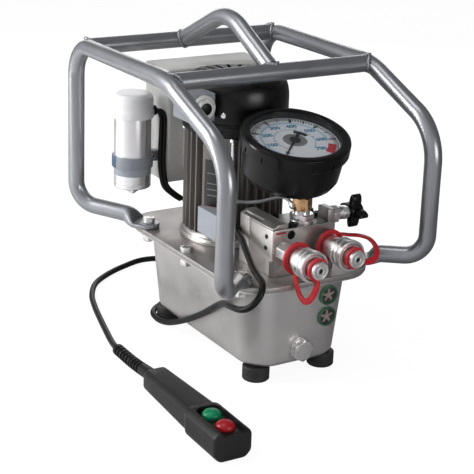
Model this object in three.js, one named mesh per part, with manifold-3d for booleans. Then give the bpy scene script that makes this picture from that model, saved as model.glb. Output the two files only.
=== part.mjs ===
// Portable electric hydraulic power unit: oil tank, pump, vertical motor, manifold with couplings and gauge,
// tubular carrying frame and a hand pendant on a cable. Millimetres, +Z up, the couplings point along -Y.
import * as THREE from 'three';
import { mergeVertices } from 'three/addons/utils/BufferGeometryUtils.js';
import Module from 'manifold-3d';

const wasm = await Module();
wasm.setup();

// ---- driving dimensions ----
const GAP = 0.3; // between pieces that touch
const PAIR = [-1, 1]; // left and right

const TUBE = { radius: 10, sides: 12 };
const HOOP = {
  x: 131, spread: 1.5, frontY: -174.5, rearY: 174.5, topZ: 335,
  shoulderY: -51, shoulderZ: 284, footZ: 139, endZ: 135.7,
};
const HANDLE = { frontY: -51, rearY: 152, crossZ: 334, peakY: 48, peakZ: 385, peakRadius: 60 };
const TAB = { width: 27, thick: 6, front: [75, -118], rear: [79, 86], past: 13, before: 16 };

const LID = { halfX: 89, halfY: 144.5, centreY: -6.5, radius: 43, bottom: 119.3, top: 125 };
const TANK = {
  topX: 72, bottomX: 60, topY: 125, bottomY: 119.5, radius: 38, wall: 3, floor: 17, flangeBottom: 117, flangeTop: 119,
};
const FOOT = { radius: 15.5, height: 16.7, x: 44, frontY: -107, rearY: 94 };
const BOLT = { shank: 4, hole: 4.6, flats: 13, head: 5.5, nutTop: 116.7, nutBottom: 108.5 };
const MID_BOLT = { x: 80, y: -8 };

const MOTOR = {
  x: 2, y: 28, flangeRadius: 62, flangeTop: 137, core: 50, fin: 59, fins: 34, finWidth: 3.4,
  housingTop: 254, shieldTop: 272, cowlRadius: 61, cowlShoulder: 292, cowlTop: 316.5, bore: 34, shaft: 7,
};
const PUMP = { flange: 40, barrel: 29, bottom: 52, strainer: 17, strainerBottom: 27 };
const BLOCK = { x: 41, front: -125, rear: -78, bottom: 125.3, top: 179 };
const COUPLER = { x: 28, z: 156 };
// distances forward from the manifold's face: strap ring, sleeve from and to, plug's face
const COUPLER_LEFT = { ring: 27, sleeve: 36, sleeveEnd: 62, face: 74 };
const COUPLER_RIGHT = { ring: 8, sleeve: 25, sleeveEnd: 51, face: 63 };
const VALVE = { y: -113, z: 183, bodyEnd: 64, knobStart: 69, knobEnd: 83 };
const GAUGE = {
  x: 0.9, y: -98.6, z: 277, tilt: 14.3, turn: -8.3, boot: 61, case: 56, depth: 57, stemX: 5, stemY: -111,
};
const BOX = { left: -50, right: 90, front: 97, rear: 155, bottom: 173, top: 296, lidTop: 311 };
const TERMINAL = { left: -84, right: -53, front: -16, rear: 22, bottom: 277, top: 308, glandX: -68.5, glandZ: 293 };
const RELAY = { left: -60, right: -34, front: -38, rear: 3, bottom: 143, top: 173 };
const CAP = { x: -88, y: 112, can: 22, cap: 25, bottom: 171, shoulder: 256, top: 285 };
const PENDANT = {
  x: -162, y: -83, z: 17, swing: 1.4, length: 178, neckWidth: 29, neckHeight: 25, gripWidth: 38, headWidth: 43,
  headLength: 66, height: 33.4, pocketWidth: 28, pocketDepth: 5, button: 10, greenY: -131, redY: -158.5,
};
const CABLE = { radius: 3.75, sides: 8 };

// ---- materials ----
const finish = (color, roughness, metalness) => new THREE.MeshStandardMaterial({ color, roughness, metalness });
const SILVER_PAINT = finish(0xb9bcc1, 0.38, 0.6);
const STAINLESS = finish(0x9b9795, 0.4, 0.9);
const ALUMINIUM = finish(0xb5b3b0, 0.42, 0.9);
const ZINC = finish(0xc9c9c6, 0.28, 1.0);
const BRASS = finish(0xb4875a, 0.35, 1.0);
const CAST_GREY = finish(0x6e6862, 0.55, 0.4);
const BLACK_PLASTIC = finish(0x17181a, 0.4, 0.0);
const BLACK_RUBBER = finish(0x1b1b1c, 0.75, 0.0);
const LIGHT_GREY = finish(0xd3d3d0, 0.5, 0.0);
const WHITE_PLASTIC = finish(0xe4e5e6, 0.35, 0.0);
const RED_RUBBER = finish(0xb01722, 0.5, 0.0);
const GREEN_PLASTIC = finish(0x1d8a4a, 0.35, 0.0);
const RED_PLASTIC = finish(0xc4202b, 0.35, 0.0);
const DIAL_WHITE = finish(0xdde0e4, 0.5, 0.0);
const GLASS = new THREE.MeshStandardMaterial({
  color: 0xeef4f6, roughness: 0.05, metalness: 0, transparent: true, opacity: 0.3,
});

// ---- solids: joining and cutting ----
function toSolid(geometry) {
  const bare = geometry.clone();
  bare.deleteAttribute('normal');
  bare.deleteAttribute('uv');
  const merged = mergeVertices(bare, 1e-3);
  return new wasm.Manifold(new wasm.Mesh({
    numProp: 3,
    vertProperties: new Float32Array(merged.attributes.position.array),
    triVerts: new Uint32Array(merged.index.array),
  }));
}

function toGeometry(solid) {
  const mesh = solid.getMesh();
  const geometry = new THREE.BufferGeometry();
  geometry.setAttribute('position', new THREE.BufferAttribute(new Float32Array(mesh.vertProperties), 3));
  geometry.setIndex(Array.from(mesh.triVerts));
  return geometry;
}

const join = (first, ...others) =>
  toGeometry(others.reduce((solid, other) => solid.add(toSolid(other)), toSolid(first)));
const cut = (body, ...tools) =>
  toGeometry(tools.reduce((solid, tool) => solid.subtract(toSolid(tool)), toSolid(body)));

// ---- basic shapes ----
function polygon(radius, sides, turn = 0) {
  const points = [];
  for (let i = 0; i < sides; i += 1) {
    const angle = turn + (2 * Math.PI * i) / sides;
    points.push(new THREE.Vector2(radius * Math.cos(angle), radius * Math.sin(angle)));
  }
  return new THREE.Shape(points);
}

function roundedRect(halfX, halfY, radius, centreX = 0, centreY = 0) {
  const shape = new THREE.Shape();
  const corners = [[1, 1, 0], [-1, 1, 1], [-1, -1, 2], [1, -1, 3]];
  shape.moveTo(centreX + halfX, centreY - halfY + radius);
  for (const [sx, sy, quarter] of corners) {
    const cx = centreX + sx * (halfX - radius);
    const cy = centreY + sy * (halfY - radius);
    shape.absarc(cx, cy, radius, (quarter * Math.PI) / 2, ((quarter + 1) * Math.PI) / 2, false);
  }
  return shape;
}

/** A flat outline raised from one height to another. */
function raised(shape, from, to, curveSegments = 5) {
  const geometry = new THREE.ExtrudeGeometry(shape, { depth: to - from, bevelEnabled: false, curveSegments });
  return geometry.translate(0, 0, from);
}

/** A profile of [radius, height] points turned about +Z. */
function turned(profile, segments = 16) {
  const points = profile.map(([radius, height]) => new THREE.Vector2(radius, height));
  return new THREE.LatheGeometry(points, segments).rotateX(Math.PI / 2);
}

/** A closed ring or a round bar given by heights and radii, from low to high. */
function disc(radius, from, to, segments = 16) {
  return turned([[0, from], [radius, from], [radius, to], [0, to]], segments);
}

function ring(inner, outer, from, to, segments = 16) {
  return turned([[inner, from], [outer, from], [outer, to], [inner, to], [inner, from]], segments);
}

const hexBar = (flats, from, to, turn = 0) => raised(polygon(flats / Math.sqrt(3), 6, turn), from, to);

function block(x0, x1, y0, y1, z0, z1) {
  const geometry = new THREE.BoxGeometry(x1 - x0, y1 - y0, z1 - z0);
  return geometry.translate((x0 + x1) / 2, (y0 + y1) / 2, (z0 + z1) / 2);
}

/** Turns a shape made about +Z so that +Z points along a direction, and moves it to a place. */
function aimed(geometry, place, direction) {
  const turn = new THREE.Quaternion().setFromUnitVectors(
    new THREE.Vector3(0, 0, 1), new THREE.Vector3(...direction).normalize());
  return geometry.applyQuaternion(turn).translate(...place);
}

/** A centre line of straight runs and round bends. A straight run is one step, and a bend is several. */
class BentLine extends THREE.Curve {
  constructor(corners, bends, stepsPerBend = 4) {
    super();
    this.stations = [];
    const points = corners.map((corner) => new THREE.Vector3(...corner));
    const towards = (a, b) => b.clone().sub(a).normalize();
    this.add(points[0], towards(points[0], points[1]));
    for (let i = 1; i < points.length - 1; i += 1) {
      const back = towards(points[i], points[i - 1]);
      const ahead = towards(points[i], points[i + 1]);
      const half = back.angleTo(ahead) / 2;
      const centre = back.clone().add(ahead).normalize().multiplyScalar(bends[i - 1] / Math.sin(half)).add(points[i]);
      const arm = back.clone().multiplyScalar(bends[i - 1] / Math.tan(half)).add(points[i]).sub(centre);
      const axis = back.clone().negate().cross(ahead).normalize();
      for (let k = 0; k <= stepsPerBend; k += 1) {
        const spoke = arm.clone().applyAxisAngle(axis, ((Math.PI - 2 * half) * k) / stepsPerBend);
        this.add(spoke.clone().add(centre), axis.clone().cross(spoke).normalize());
      }
    }
    const last = points.length - 1;
    this.add(points[last], towards(points[last - 1], points[last]));
  }

  add(point, tangent) {
    this.stations.push({ point: point.clone(), tangent });
  }

  get steps() {
    return this.stations.length - 1;
  }

  getPointAt(u) {
    return this.stations[Math.round(u * this.steps)].point.clone();
  }

  getTangentAt(u) {
    return this.stations[Math.round(u * this.steps)].tangent.clone();
  }
}

const along = (line, shape, steps = line.steps) =>
  new THREE.ExtrudeGeometry(shape, { steps, bevelEnabled: false, extrudePath: line });
const tube = (line, radius, sides, steps) => along(line, polygon(radius, sides), steps);

/** A smooth line through hand-chosen points. */
const smooth = (points) =>
  new THREE.CatmullRomCurve3(points.map((p) => new THREE.Vector3(...p)), false, 'centripetal');

/** The same line, but stepped from point to point, so that close points give short steps in tight bends. */
function pacedByPoints(points) {
  const line = smooth(points);
  line.getPointAt = (u) => line.getPoint(u);
  line.getTangentAt = (u) => line.getTangent(u);
  return line;
}

// ---- the assembly ----
const unit = new THREE.Group();

function part(name, geometry, material, parent = unit) {
  const mesh = new THREE.Mesh(geometry, material);
  mesh.name = name;
  parent.add(mesh);
  return mesh;
}

// ---- carrying frame ----
function hoopLine(side) {
  const foot = HOOP.x + HOOP.spread;
  const toward = (corner, target) => {
    const gap = Math.hypot(target[0] - corner[0], target[1] - corner[1]);
    const keep = (gap - TAB.before) / gap;
    return [corner[0] + (target[0] - corner[0]) * keep, corner[1] + (target[1] - corner[1]) * keep];
  };
  const frontEnd = toward([foot, HOOP.frontY], TAB.front);
  const rearEnd = toward([foot, HOOP.rearY], TAB.rear);
  const corners = [
    [frontEnd[0], frontEnd[1], HOOP.endZ],
    [foot, HOOP.frontY, HOOP.footZ],
    [HOOP.x, HOOP.frontY, HOOP.shoulderZ],
    [HOOP.x, HOOP.shoulderY, HOOP.topZ],
    [HOOP.x, HOOP.rearY, HOOP.topZ],
    [foot, HOOP.rearY, HOOP.footZ],
    [rearEnd[0], rearEnd[1], HOOP.endZ],
  ].map(([x, y, z]) => [side * x, y, z]);
  return new BentLine(corners, [26, 56, 90, 38, 28]);
}

/** The flattened end of a tube, with its bolt hole, from the tube's end to past the bolt. */
function tab(side, [x, y], cornerY) {
  const from = new THREE.Vector2(side * (HOOP.x + HOOP.spread), cornerY);
  const direction = new THREE.Vector2(side * x, y).sub(from).normalize();
  const half = TAB.width / 2;
  const outline = new THREE.Shape();
  outline.moveTo(-TAB.before - 8, -TUBE.radius + 1);
  outline.lineTo(-TAB.before + 2, -half);
  outline.absarc(TAB.past - half, 0, half, -Math.PI / 2, Math.PI / 2, false);
  outline.lineTo(-TAB.before + 2, half);
  outline.lineTo(-TAB.before - 8, TUBE.radius - 1);
  const plate = cut(raised(outline, 0, TAB.thick), disc(BOLT.hole, -1, TAB.thick + 1, 16));
  return plate.rotateZ(Math.atan2(direction.y, direction.x)).translate(side * x, y, LID.top + GAP);
}

const hoopCutters = {};
for (const [index, side] of PAIR.entries()) {
  const line = hoopLine(side);
  const hoop = join(
    tube(line, TUBE.radius, TUBE.sides), tab(side, TAB.front, HOOP.frontY), tab(side, TAB.rear, HOOP.rearY));
  part(['hoop_left', 'hoop_right'][index], hoop, SILVER_PAINT);
  hoopCutters[side] = tube(hoopLine(side), TUBE.radius + GAP, TUBE.sides);
}

function crossTube(y) {
  const line = new BentLine([[-HOOP.x, y, HANDLE.crossZ], [HOOP.x, y, HANDLE.crossZ]], []);
  return cut(tube(line, TUBE.radius, TUBE.sides), hoopCutters[-1], hoopCutters[1]);
}

const crossCutter = (y) => tube(
  new BentLine([[-HOOP.x, y, HANDLE.crossZ], [HOOP.x, y, HANDLE.crossZ]], []), TUBE.radius + GAP, TUBE.sides);

part('cross_tube_front', crossTube(HANDLE.frontY), SILVER_PAINT);
part('cross_tube_rear', crossTube(HANDLE.rearY), SILVER_PAINT);
part('carry_handle', cut(
  tube(new BentLine([
    [0, HANDLE.frontY, HANDLE.crossZ], [0, HANDLE.peakY, HANDLE.peakZ], [0, HANDLE.rearY, HANDLE.crossZ],
  ], [HANDLE.peakRadius], 8), TUBE.radius, TUBE.sides),
  crossCutter(HANDLE.frontY), crossCutter(HANDLE.rearY)), SILVER_PAINT);

/** A hexagon-head bolt with its nut run up under the tank's flange. */
function boltAndNut(x, y, seat) {
  const solid = join(
    disc(BOLT.shank, BOLT.nutBottom - 1.5, seat + 1, 12),
    hexBar(BOLT.flats, seat, seat + BOLT.head),
    hexBar(BOLT.flats, BOLT.nutBottom, BOLT.nutTop));
  return solid.translate(x, y, 0);
}

const tabSeat = LID.top + TAB.thick + 2 * GAP;
const boltPlaces = [
  ['frame_bolt_front_left', -TAB.front[0], TAB.front[1], tabSeat],
  ['frame_bolt_front_right', TAB.front[0], TAB.front[1], tabSeat],
  ['frame_bolt_rear_left', -TAB.rear[0], TAB.rear[1], tabSeat],
  ['frame_bolt_rear_right', TAB.rear[0], TAB.rear[1], tabSeat],
  ['lid_bolt_left', -MID_BOLT.x, MID_BOLT.y, LID.top + GAP],
  ['lid_bolt_right', MID_BOLT.x, MID_BOLT.y, LID.top + GAP],
];
for (const [name, x, y, seat] of boltPlaces) part(name, boltAndNut(x, y, seat), ZINC);
const boltHoles = boltPlaces.map(([, x, y]) => disc(BOLT.hole, 100, 140, 16).translate(x, y, 0));

// ---- oil tank and its lid ----
/** A box with rounded corners whose sides lean in towards the bottom. */
function leaning(top, bottom, radius, from, to) {
  const solid = raised(roundedRect(top[0], top[1], radius), from, to);
  const places = solid.attributes.position;
  for (let i = 0; i < places.count; i += 1) {
    const up = (places.getZ(i) - from) / (to - from);
    places.setX(i, places.getX(i) * (bottom[0] / top[0] + (1 - bottom[0] / top[0]) * up));
    places.setY(i, places.getY(i) * (bottom[1] / top[1] + (1 - bottom[1] / top[1]) * up));
  }
  return solid.translate(0, LID.centreY, 0);
}

const frontLean = Math.atan2(TANK.topY - TANK.bottomY, TANK.flangeTop - TANK.floor);
const frontFaceY = (z) => LID.centreY - TANK.bottomY - (z - TANK.floor) * Math.tan(frontLean);
const frontNormal = [0, -Math.cos(frontLean), -Math.sin(frontLean)];
const SIGHTS = [['sight_glass_upper', 33, 95], ['sight_glass_lower', 33, 69]];
const DRAIN = { x: 0, z: 36, thread: 8, flats: 24 };

const tankBody = join(
  leaning([TANK.topX, TANK.topY], [TANK.bottomX, TANK.bottomY], TANK.radius, TANK.floor, TANK.flangeTop),
  raised(roundedRect(LID.halfX - 1, LID.halfY - 1, LID.radius, 0, LID.centreY), TANK.flangeBottom, TANK.flangeTop));
const tankSpace = leaning(
  [TANK.topX - TANK.wall, TANK.topY - TANK.wall], [TANK.bottomX - TANK.wall, TANK.bottomY - TANK.wall],
  TANK.radius - TANK.wall, TANK.floor + TANK.wall, TANK.flangeTop + 1);
part('tank', cut(
  tankBody, tankSpace, ...boltHoles,
  ...SIGHTS.map(([, x, z]) => aimed(disc(9.3, -9, 9), [x, frontFaceY(z), z], frontNormal)),
  aimed(disc(DRAIN.thread + GAP, -9, 9), [DRAIN.x, frontFaceY(DRAIN.z), DRAIN.z], frontNormal)), STAINLESS);

const lidBlank = raised(roundedRect(LID.halfX, LID.halfY, LID.radius, 0, LID.centreY), LID.bottom, LID.top, 8);
part('lid_plate', cut(
  lidBlank, disc(20, LID.bottom - 1, LID.top + 1, 32).translate(MOTOR.x, MOTOR.y, 0), ...boltHoles), STAINLESS);

for (const [end, y] of [['front', FOOT.frontY], ['rear', FOOT.rearY]]) {
  for (const side of PAIR) {
    const foot = turned([
      [0, 0], [FOOT.radius - 1, 0], [FOOT.radius, 1.5], [FOOT.radius, FOOT.height - 1], [FOOT.radius - 1, FOOT.height],
      [0, FOOT.height],
    ], 24).translate(side * FOOT.x, y, 0);
    part(`foot_${end}_${side < 0 ? 'left' : 'right'}`, foot, BLACK_RUBBER);
  }
}

part('drain_plug', aimed(join(
  disc(DRAIN.thread, -8, 1, 16), disc(13, GAP, 3, 24), hexBar(DRAIN.flats, 2.5, 10.5)),
[DRAIN.x, frontFaceY(DRAIN.z), DRAIN.z], frontNormal), ZINC);
for (const [name, x, z] of SIGHTS) {
  const glass = turned([[0, -7], [9, -7], [9, GAP], [11.6, GAP], [11.6, 2.4], [10.4, 3.4], [8.2, 3.4], [7.6, 1.6], [0, 1.6]]);
  part(name, aimed(glass, [x, frontFaceY(z), z], frontNormal), GREEN_PLASTIC);
}

// ---- pump under the lid ----
const pump = cut(
  turned([
    [0, PUMP.strainerBottom], [PUMP.strainer, PUMP.strainerBottom], [PUMP.strainer, PUMP.bottom - 6],
    [PUMP.strainer - 6, PUMP.bottom - 6], [PUMP.strainer - 6, PUMP.bottom], [PUMP.barrel, PUMP.bottom],
    [PUMP.barrel, 108], [PUMP.flange, 108], [PUMP.flange, LID.bottom - GAP], [0, LID.bottom - GAP],
  ], 28),
  disc(MOTOR.shaft + 1, PUMP.bottom + 10, LID.bottom + 1, 20));
part('pump_body', pump.translate(MOTOR.x, MOTOR.y, 0), ALUMINIUM);

// ---- motor ----
const motor = new THREE.Group();
motor.position.set(MOTOR.x, MOTOR.y, 0);
unit.add(motor);

part('motor_flange', turned([
  [12, LID.top + GAP], [MOTOR.flangeRadius, LID.top + GAP], [MOTOR.flangeRadius, 129], [MOTOR.flangeRadius - 2, 134],
  [MOTOR.flangeRadius - 5, MOTOR.flangeTop], [12, MOTOR.flangeTop], [12, LID.top + GAP],
], 40), ALUMINIUM, motor);

/** The housing's section: a round core with straight ribs, left off where the rating plate's flat pad sits. */
function finnedSection() {
  const padFrom = THREE.MathUtils.degToRad(196);
  const padTo = THREE.MathUtils.degToRad(240);
  const step = (2 * Math.PI) / MOTOR.fins;
  const half = MOTOR.finWidth / 2;
  const points = [];
  for (let i = 0; i < MOTOR.fins; i += 1) {
    const angle = i * step;
    if (angle > padFrom && angle < padTo) continue;
    const tip = Math.sqrt(MOTOR.fin ** 2 - half ** 2);
    for (const [radial, across] of [[MOTOR.core, -half], [tip, -half * 0.7], [tip, half * 0.7], [MOTOR.core, half]]) {
      points.push(new THREE.Vector2(
        radial * Math.cos(angle) - across * Math.sin(angle), radial * Math.sin(angle) + across * Math.cos(angle)));
    }
  }
  return new THREE.Shape(points);
}

const housing = finnedSection();
housing.holes.push(polygon(MOTOR.bore, 32));
part('motor_housing', raised(housing, MOTOR.flangeTop + GAP, MOTOR.housingTop), CAST_GREY, motor);

part('motor_end_shield', turned([
  [12, MOTOR.housingTop + GAP], [MOTOR.fin, MOTOR.housingTop + GAP], [MOTOR.fin + 3, MOTOR.housingTop + 5],
  [MOTOR.fin + 3, MOTOR.shieldTop - 5], [MOTOR.fin, MOTOR.shieldTop - 2], [12, MOTOR.shieldTop - 2],
  [12, MOTOR.housingTop + GAP],
], 36), BLACK_PLASTIC, motor);

/** The fan cowl: a thin cup with a round shoulder, mouth down, with slots through its flat top. */
function fanCowl() {
  const wall = 2.2;
  const edge = 10.5;
  const outer = MOTOR.cowlRadius;
  const top = MOTOR.cowlTop;
  const shoulder = MOTOR.cowlShoulder;
  const low = MOTOR.shieldTop - 1.5;
  const steps = 4;
  const round = (inset) => Array.from({ length: steps + 1 }, (_, k) => {
    const angle = (Math.PI / 2) * (k / steps);
    return [outer - edge + (edge - inset) * Math.cos(angle), shoulder + (top - shoulder - inset) * Math.sin(angle)];
  });
  const shell = turned([
    [0, top - wall], ...round(wall).reverse(), [outer - wall, low], [outer, low], ...round(0), [0, top],
  ], 40);
  const slots = [];
  for (let i = 0; i < 14; i += 1) {
    const slot = block(20, 48, -2.6, 2.6, top - 4, top + 2);
    slots.push(slot.rotateZ((2 * Math.PI * i) / 14));
  }
  return cut(shell, ...slots);
}
part('fan_cowl', fanCowl(), BLACK_PLASTIC, motor);

part('rotor_shaft', turned([
  [0, 66], [MOTOR.shaft, 66], [MOTOR.shaft, 150], [31, 150], [31, 238], [MOTOR.shaft, 238], [MOTOR.shaft, 290],
  [0, 290],
], 24), STAINLESS, motor);

function coolingFan() {
  const blades = [];
  for (let i = 0; i < 7; i += 1) {
    const blade = block(12, 52, -1.2, 1.2, 276, 294);
    blades.push(blade.rotateZ((2 * Math.PI * i) / 7));
  }
  const hub = join(disc(14, 276, 292, 20), disc(50, 275, 277, 28), ...blades);
  return cut(hub, disc(MOTOR.shaft + GAP, 260, 300, 20));
}
part('cooling_fan', coolingFan(), BLACK_PLASTIC, motor);

const motorCutter = turned([[0, 100], [MOTOR.fin + 2, 100], [MOTOR.fin + 2, 260], [0, 260]], 40)
  .translate(MOTOR.x, MOTOR.y, 0);
part('relay_box', cut(
  block(RELAY.left, RELAY.right, RELAY.front, RELAY.rear, RELAY.bottom, RELAY.top), motorCutter), LIGHT_GREY);

const cowlCutter = disc(MOTOR.cowlRadius + GAP, 250, 330, 40).translate(MOTOR.x, MOTOR.y, 0);
part('terminal_box', cut(
  block(TERMINAL.left, TERMINAL.right, TERMINAL.front, TERMINAL.rear, TERMINAL.bottom, TERMINAL.top),
  cowlCutter), LIGHT_GREY);

// ---- electrical box and run capacitor ----
function controlBox() {
  const shell = block(BOX.left, BOX.right, BOX.front, BOX.rear, BOX.bottom, BOX.top);
  const space = block(BOX.left + 3, BOX.right - 3, BOX.front + 3, BOX.rear - 3, BOX.bottom + 3, BOX.top + 1);
  const neck = block(-28, 24, MOTOR.y + MOTOR.fin + 1, BOX.front + 1, 190, 244);
  return join(cut(shell, space), neck);
}
part('control_box', controlBox(), LIGHT_GREY);
part('control_box_lid', join(
  raised(roundedRect(71.5, 30.5, 6, 20, 126), BOX.top + GAP, BOX.lidTop),
  block(BOX.left + 4, BOX.right - 4, BOX.front + 4, BOX.rear - 4, BOX.top - 4, BOX.top + 1)), LIGHT_GREY);
part('cable_gland', aimed(turned([
  [0, GAP], [14.5, GAP], [14.5, 4], [13, 6], [9.5, 6], [8.5, 4], [7, 9], [0, 9],
]), [TERMINAL.glandX, TERMINAL.front, TERMINAL.glandZ], [0, -1, 0]), BLACK_PLASTIC);

const capacitor = new THREE.Group();
capacitor.position.set(CAP.x, CAP.y, 0);
unit.add(capacitor);
part('capacitor_can', turned([
  [0, CAP.bottom - 9], [4, CAP.bottom - 9], [4, CAP.bottom], [CAP.can - 2, CAP.bottom], [CAP.can, CAP.bottom + 2],
  [CAP.can, CAP.shoulder - GAP], [0, CAP.shoulder - GAP],
], 28), ALUMINIUM, capacitor);
part('capacitor_cap', turned([
  [0, CAP.shoulder], [CAP.cap, CAP.shoulder], [CAP.cap, CAP.top - 5], [CAP.cap - 5, CAP.top], [0, CAP.top],
], 28), WHITE_PLASTIC, capacitor);
part('capacitor_clamp', join(
  ring(CAP.can + GAP, CAP.can + 2.3, 196, 210, 28),
  block(CAP.can + 1, BOX.left - GAP - CAP.x, 2, 14, 197, 209)), ZINC, capacitor);
// two leads out of the cap's side, bundled by the clamp and led into the motor's rear
const leadRoute = [
  [26.3, -6, 262], [31, -9, 261], [34, -11, 255], [34, -12, 240], [33, -13, 222], [32, -14, 204], [32, -16, 188],
  [34.5, -20, 171], [45, -24, 160], [54, -27, 153.5],
];
part('capacitor_lead', tube(smooth(leadRoute), 3.4, 8, 16), BLACK_RUBBER, capacitor);

// ---- manifold block with its cover ----
part('manifold_block', join(
  block(-BLOCK.x, BLOCK.x, BLOCK.front, BLOCK.rear, BLOCK.bottom, BLOCK.top),
  block(32, BLOCK.x, VALVE.y - 10.5, VALVE.y + 10.5, BLOCK.top - 1, VALVE.z + 10)), ALUMINIUM);

/** A cover along the block's left: a low cap with a chamfered edge on top and a full-height part behind. */
function valveCover() {
  const capOutline = new THREE.Shape([
    [-BLOCK.x, BLOCK.top + GAP], [-22, BLOCK.top + GAP], [-22, 185], [-33, 185], [-BLOCK.x, 181],
  ].map(([x, z]) => new THREE.Vector2(x, z)));
  const rearOutline = new THREE.Shape([
    [-BLOCK.x, BLOCK.bottom], [-22, BLOCK.bottom], [-22, 185], [-33, 185], [-BLOCK.x, 181],
  ].map(([x, z]) => new THREE.Vector2(x, z)));
  // an outline drawn in X and Z, pushed along +Y from one station to another
  const pushed = (shape, from, to) => raised(shape, -to, -from).rotateX(Math.PI / 2);
  return join(
    pushed(capOutline, BLOCK.front + 0.5, BLOCK.rear + 2), pushed(rearOutline, BLOCK.rear + GAP, BLOCK.rear + 20));
}
part('valve_cover', valveCover(), ALUMINIUM);

// ---- needle valve ----
const towardRight = [1, 0, 0];
part('valve_body', aimed(cut(join(
  hexBar(19, BLOCK.x + GAP, 49), disc(7.5, 48, 58), hexBar(14, 57, VALVE.bodyEnd)), disc(4 + GAP, 50, 90, 16)),
[0, VALVE.y, VALVE.z], towardRight), ZINC);
part('valve_spindle', aimed(disc(4, 52, VALVE.knobStart + 8, 16), [0, VALVE.y, VALVE.z], towardRight), ZINC);

/** A knob of four round lobes on a hub. */
function starKnob() {
  const lobes = [];
  for (let i = 0; i < 4; i += 1) {
    const angle = (i + 0.06) * (Math.PI / 2);
    const outer = disc(5, VALVE.knobStart, VALVE.knobEnd - 2, 12).translate(15 * Math.cos(angle), 15 * Math.sin(angle), 0);
    const web = block(0, 15, -3.6, 3.6, VALVE.knobStart, VALVE.knobEnd - 2).rotateZ(angle);
    lobes.push(outer, web);
  }
  const knob = join(disc(8, VALVE.knobStart - 2, VALVE.knobEnd, 20), ...lobes);
  return cut(knob, disc(4 + GAP, VALVE.knobStart - 5, VALVE.knobStart + 8 + GAP, 16));
}
part('valve_knob', aimed(starKnob(), [0, VALVE.y, VALVE.z], towardRight), BLACK_PLASTIC);

// ---- quick couplings, their dust plugs and straps ----
const forward = [0, -1, 0];
const faceY = (distance) => BLOCK.front - distance;

// centre lines of the bands, as steps from each coupling's axis: sideways, along Y and up
const strapLines = {
  left: [
    [-1, -153.4, -15], [-1, -153.6, -20], [-0.5, -156, -30], [0, -162, -39.5], [0.5, -170, -43.5],
    [1, -178, -40], [1.5, -186, -29], [1, -191, -18], [0.5, -191.4, -10],
  ],
  right: [
    [11, -134.6, 10], [15, -134.8, 10.5], [23, -138, 9.5], [32, -145, 9.5], [39, -153, 7.5], [41, -162, 2.5],
    [37, -171, -3], [29, -177.5, -6.5], [20, -180, -7.5], [9.5, -180.3, -5],
  ],
};

/** A rubber strap: a ring round the coupling's body, a band, and a ring round the dust plug's neck. */
function dustStrap(which, sizes) {
  const band = new THREE.Shape(
    [[-1.5, -3.5], [1.5, -3.5], [1.5, 3.5], [-1.5, 3.5]].map(([a, b]) => new THREE.Vector2(a, b)));
  const strapRing = (inner, outer, distance) =>
    aimed(ring(inner, outer, 0, 3.2), [0, faceY(distance), 0], forward);
  return join(
    along(smooth(strapLines[which]), band, 12), strapRing(12.9, 18, sizes.ring), strapRing(7.3, 12.5, sizes.face - 8.6));
}

for (const [which, side, sizes] of [['left', -1, COUPLER_LEFT], ['right', 1, COUPLER_RIGHT]]) {
  const axis = [side * COUPLER.x, 0, COUPLER.z];
  const base = [axis[0], BLOCK.front, axis[2]];
  const { sleeve, sleeveEnd, face } = sizes;
  const bodyFront = sleeveEnd - 1;
  const body = turned([
    [0, GAP], [8.5, GAP], [8.5, sizes.ring - 2], [12.4, sizes.ring - 1], [12.4, sleeve - 1], [14, sleeve - 1],
    [14, bodyFront], [8, bodyFront], [8, face - 29], [0, face - 29],
  ]);
  part(`coupler_body_${which}`, aimed(join(body, hexBar(19, GAP, sizes.ring - 2.5, Math.PI / 6)), base, forward), ZINC);
  part(`coupler_sleeve_${which}`, aimed(turned([
    [14.4, sleeve + 5.5], [15.6, sleeve + 5.5], [16, sleeve + 6], [16, sleeve + 14], [15, sleeve + 15],
    [15, sleeve + 16.4], [17.4, sleeve + 17.4], [17.4, sleeveEnd - 1], [16.5, sleeveEnd], [14.4, sleeveEnd],
    [14.4, sleeve + 5.5],
  ], 24), base, forward), ZINC);
  part(`dust_plug_${which}`, aimed(cut(turned([
    [0, face - 27], [6.6, face - 27], [7, face - 26], [7, face - 5], [10, face - 5], [10, face - 0.8],
    [9.2, face], [0, face],
  ]), disc(2, face - 6, face + 6, 12)), base, forward), ZINC);
  part(`dust_strap_${which}`, dustStrap(which, sizes).translate(axis[0], 0, axis[2]), RED_RUBBER);
}

// ---- pressure gauge ----
const stemTop = 226;
const stem = join(
  disc(13, BLOCK.top + GAP, 183), hexBar(24, 182.5, 190, Math.PI / 6), disc(9, 189, 194), hexBar(19, 193.5, 208),
  disc(7, 207, stemTop));
const gauge = new THREE.Group();
gauge.position.set(GAUGE.x, GAUGE.y, GAUGE.z);
gauge.rotation.order = 'ZXY';
gauge.rotation.x = THREE.MathUtils.degToRad(GAUGE.tilt);
gauge.rotation.z = THREE.MathUtils.degToRad(GAUGE.turn);
unit.add(gauge);
gauge.updateMatrixWorld(true);

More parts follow.
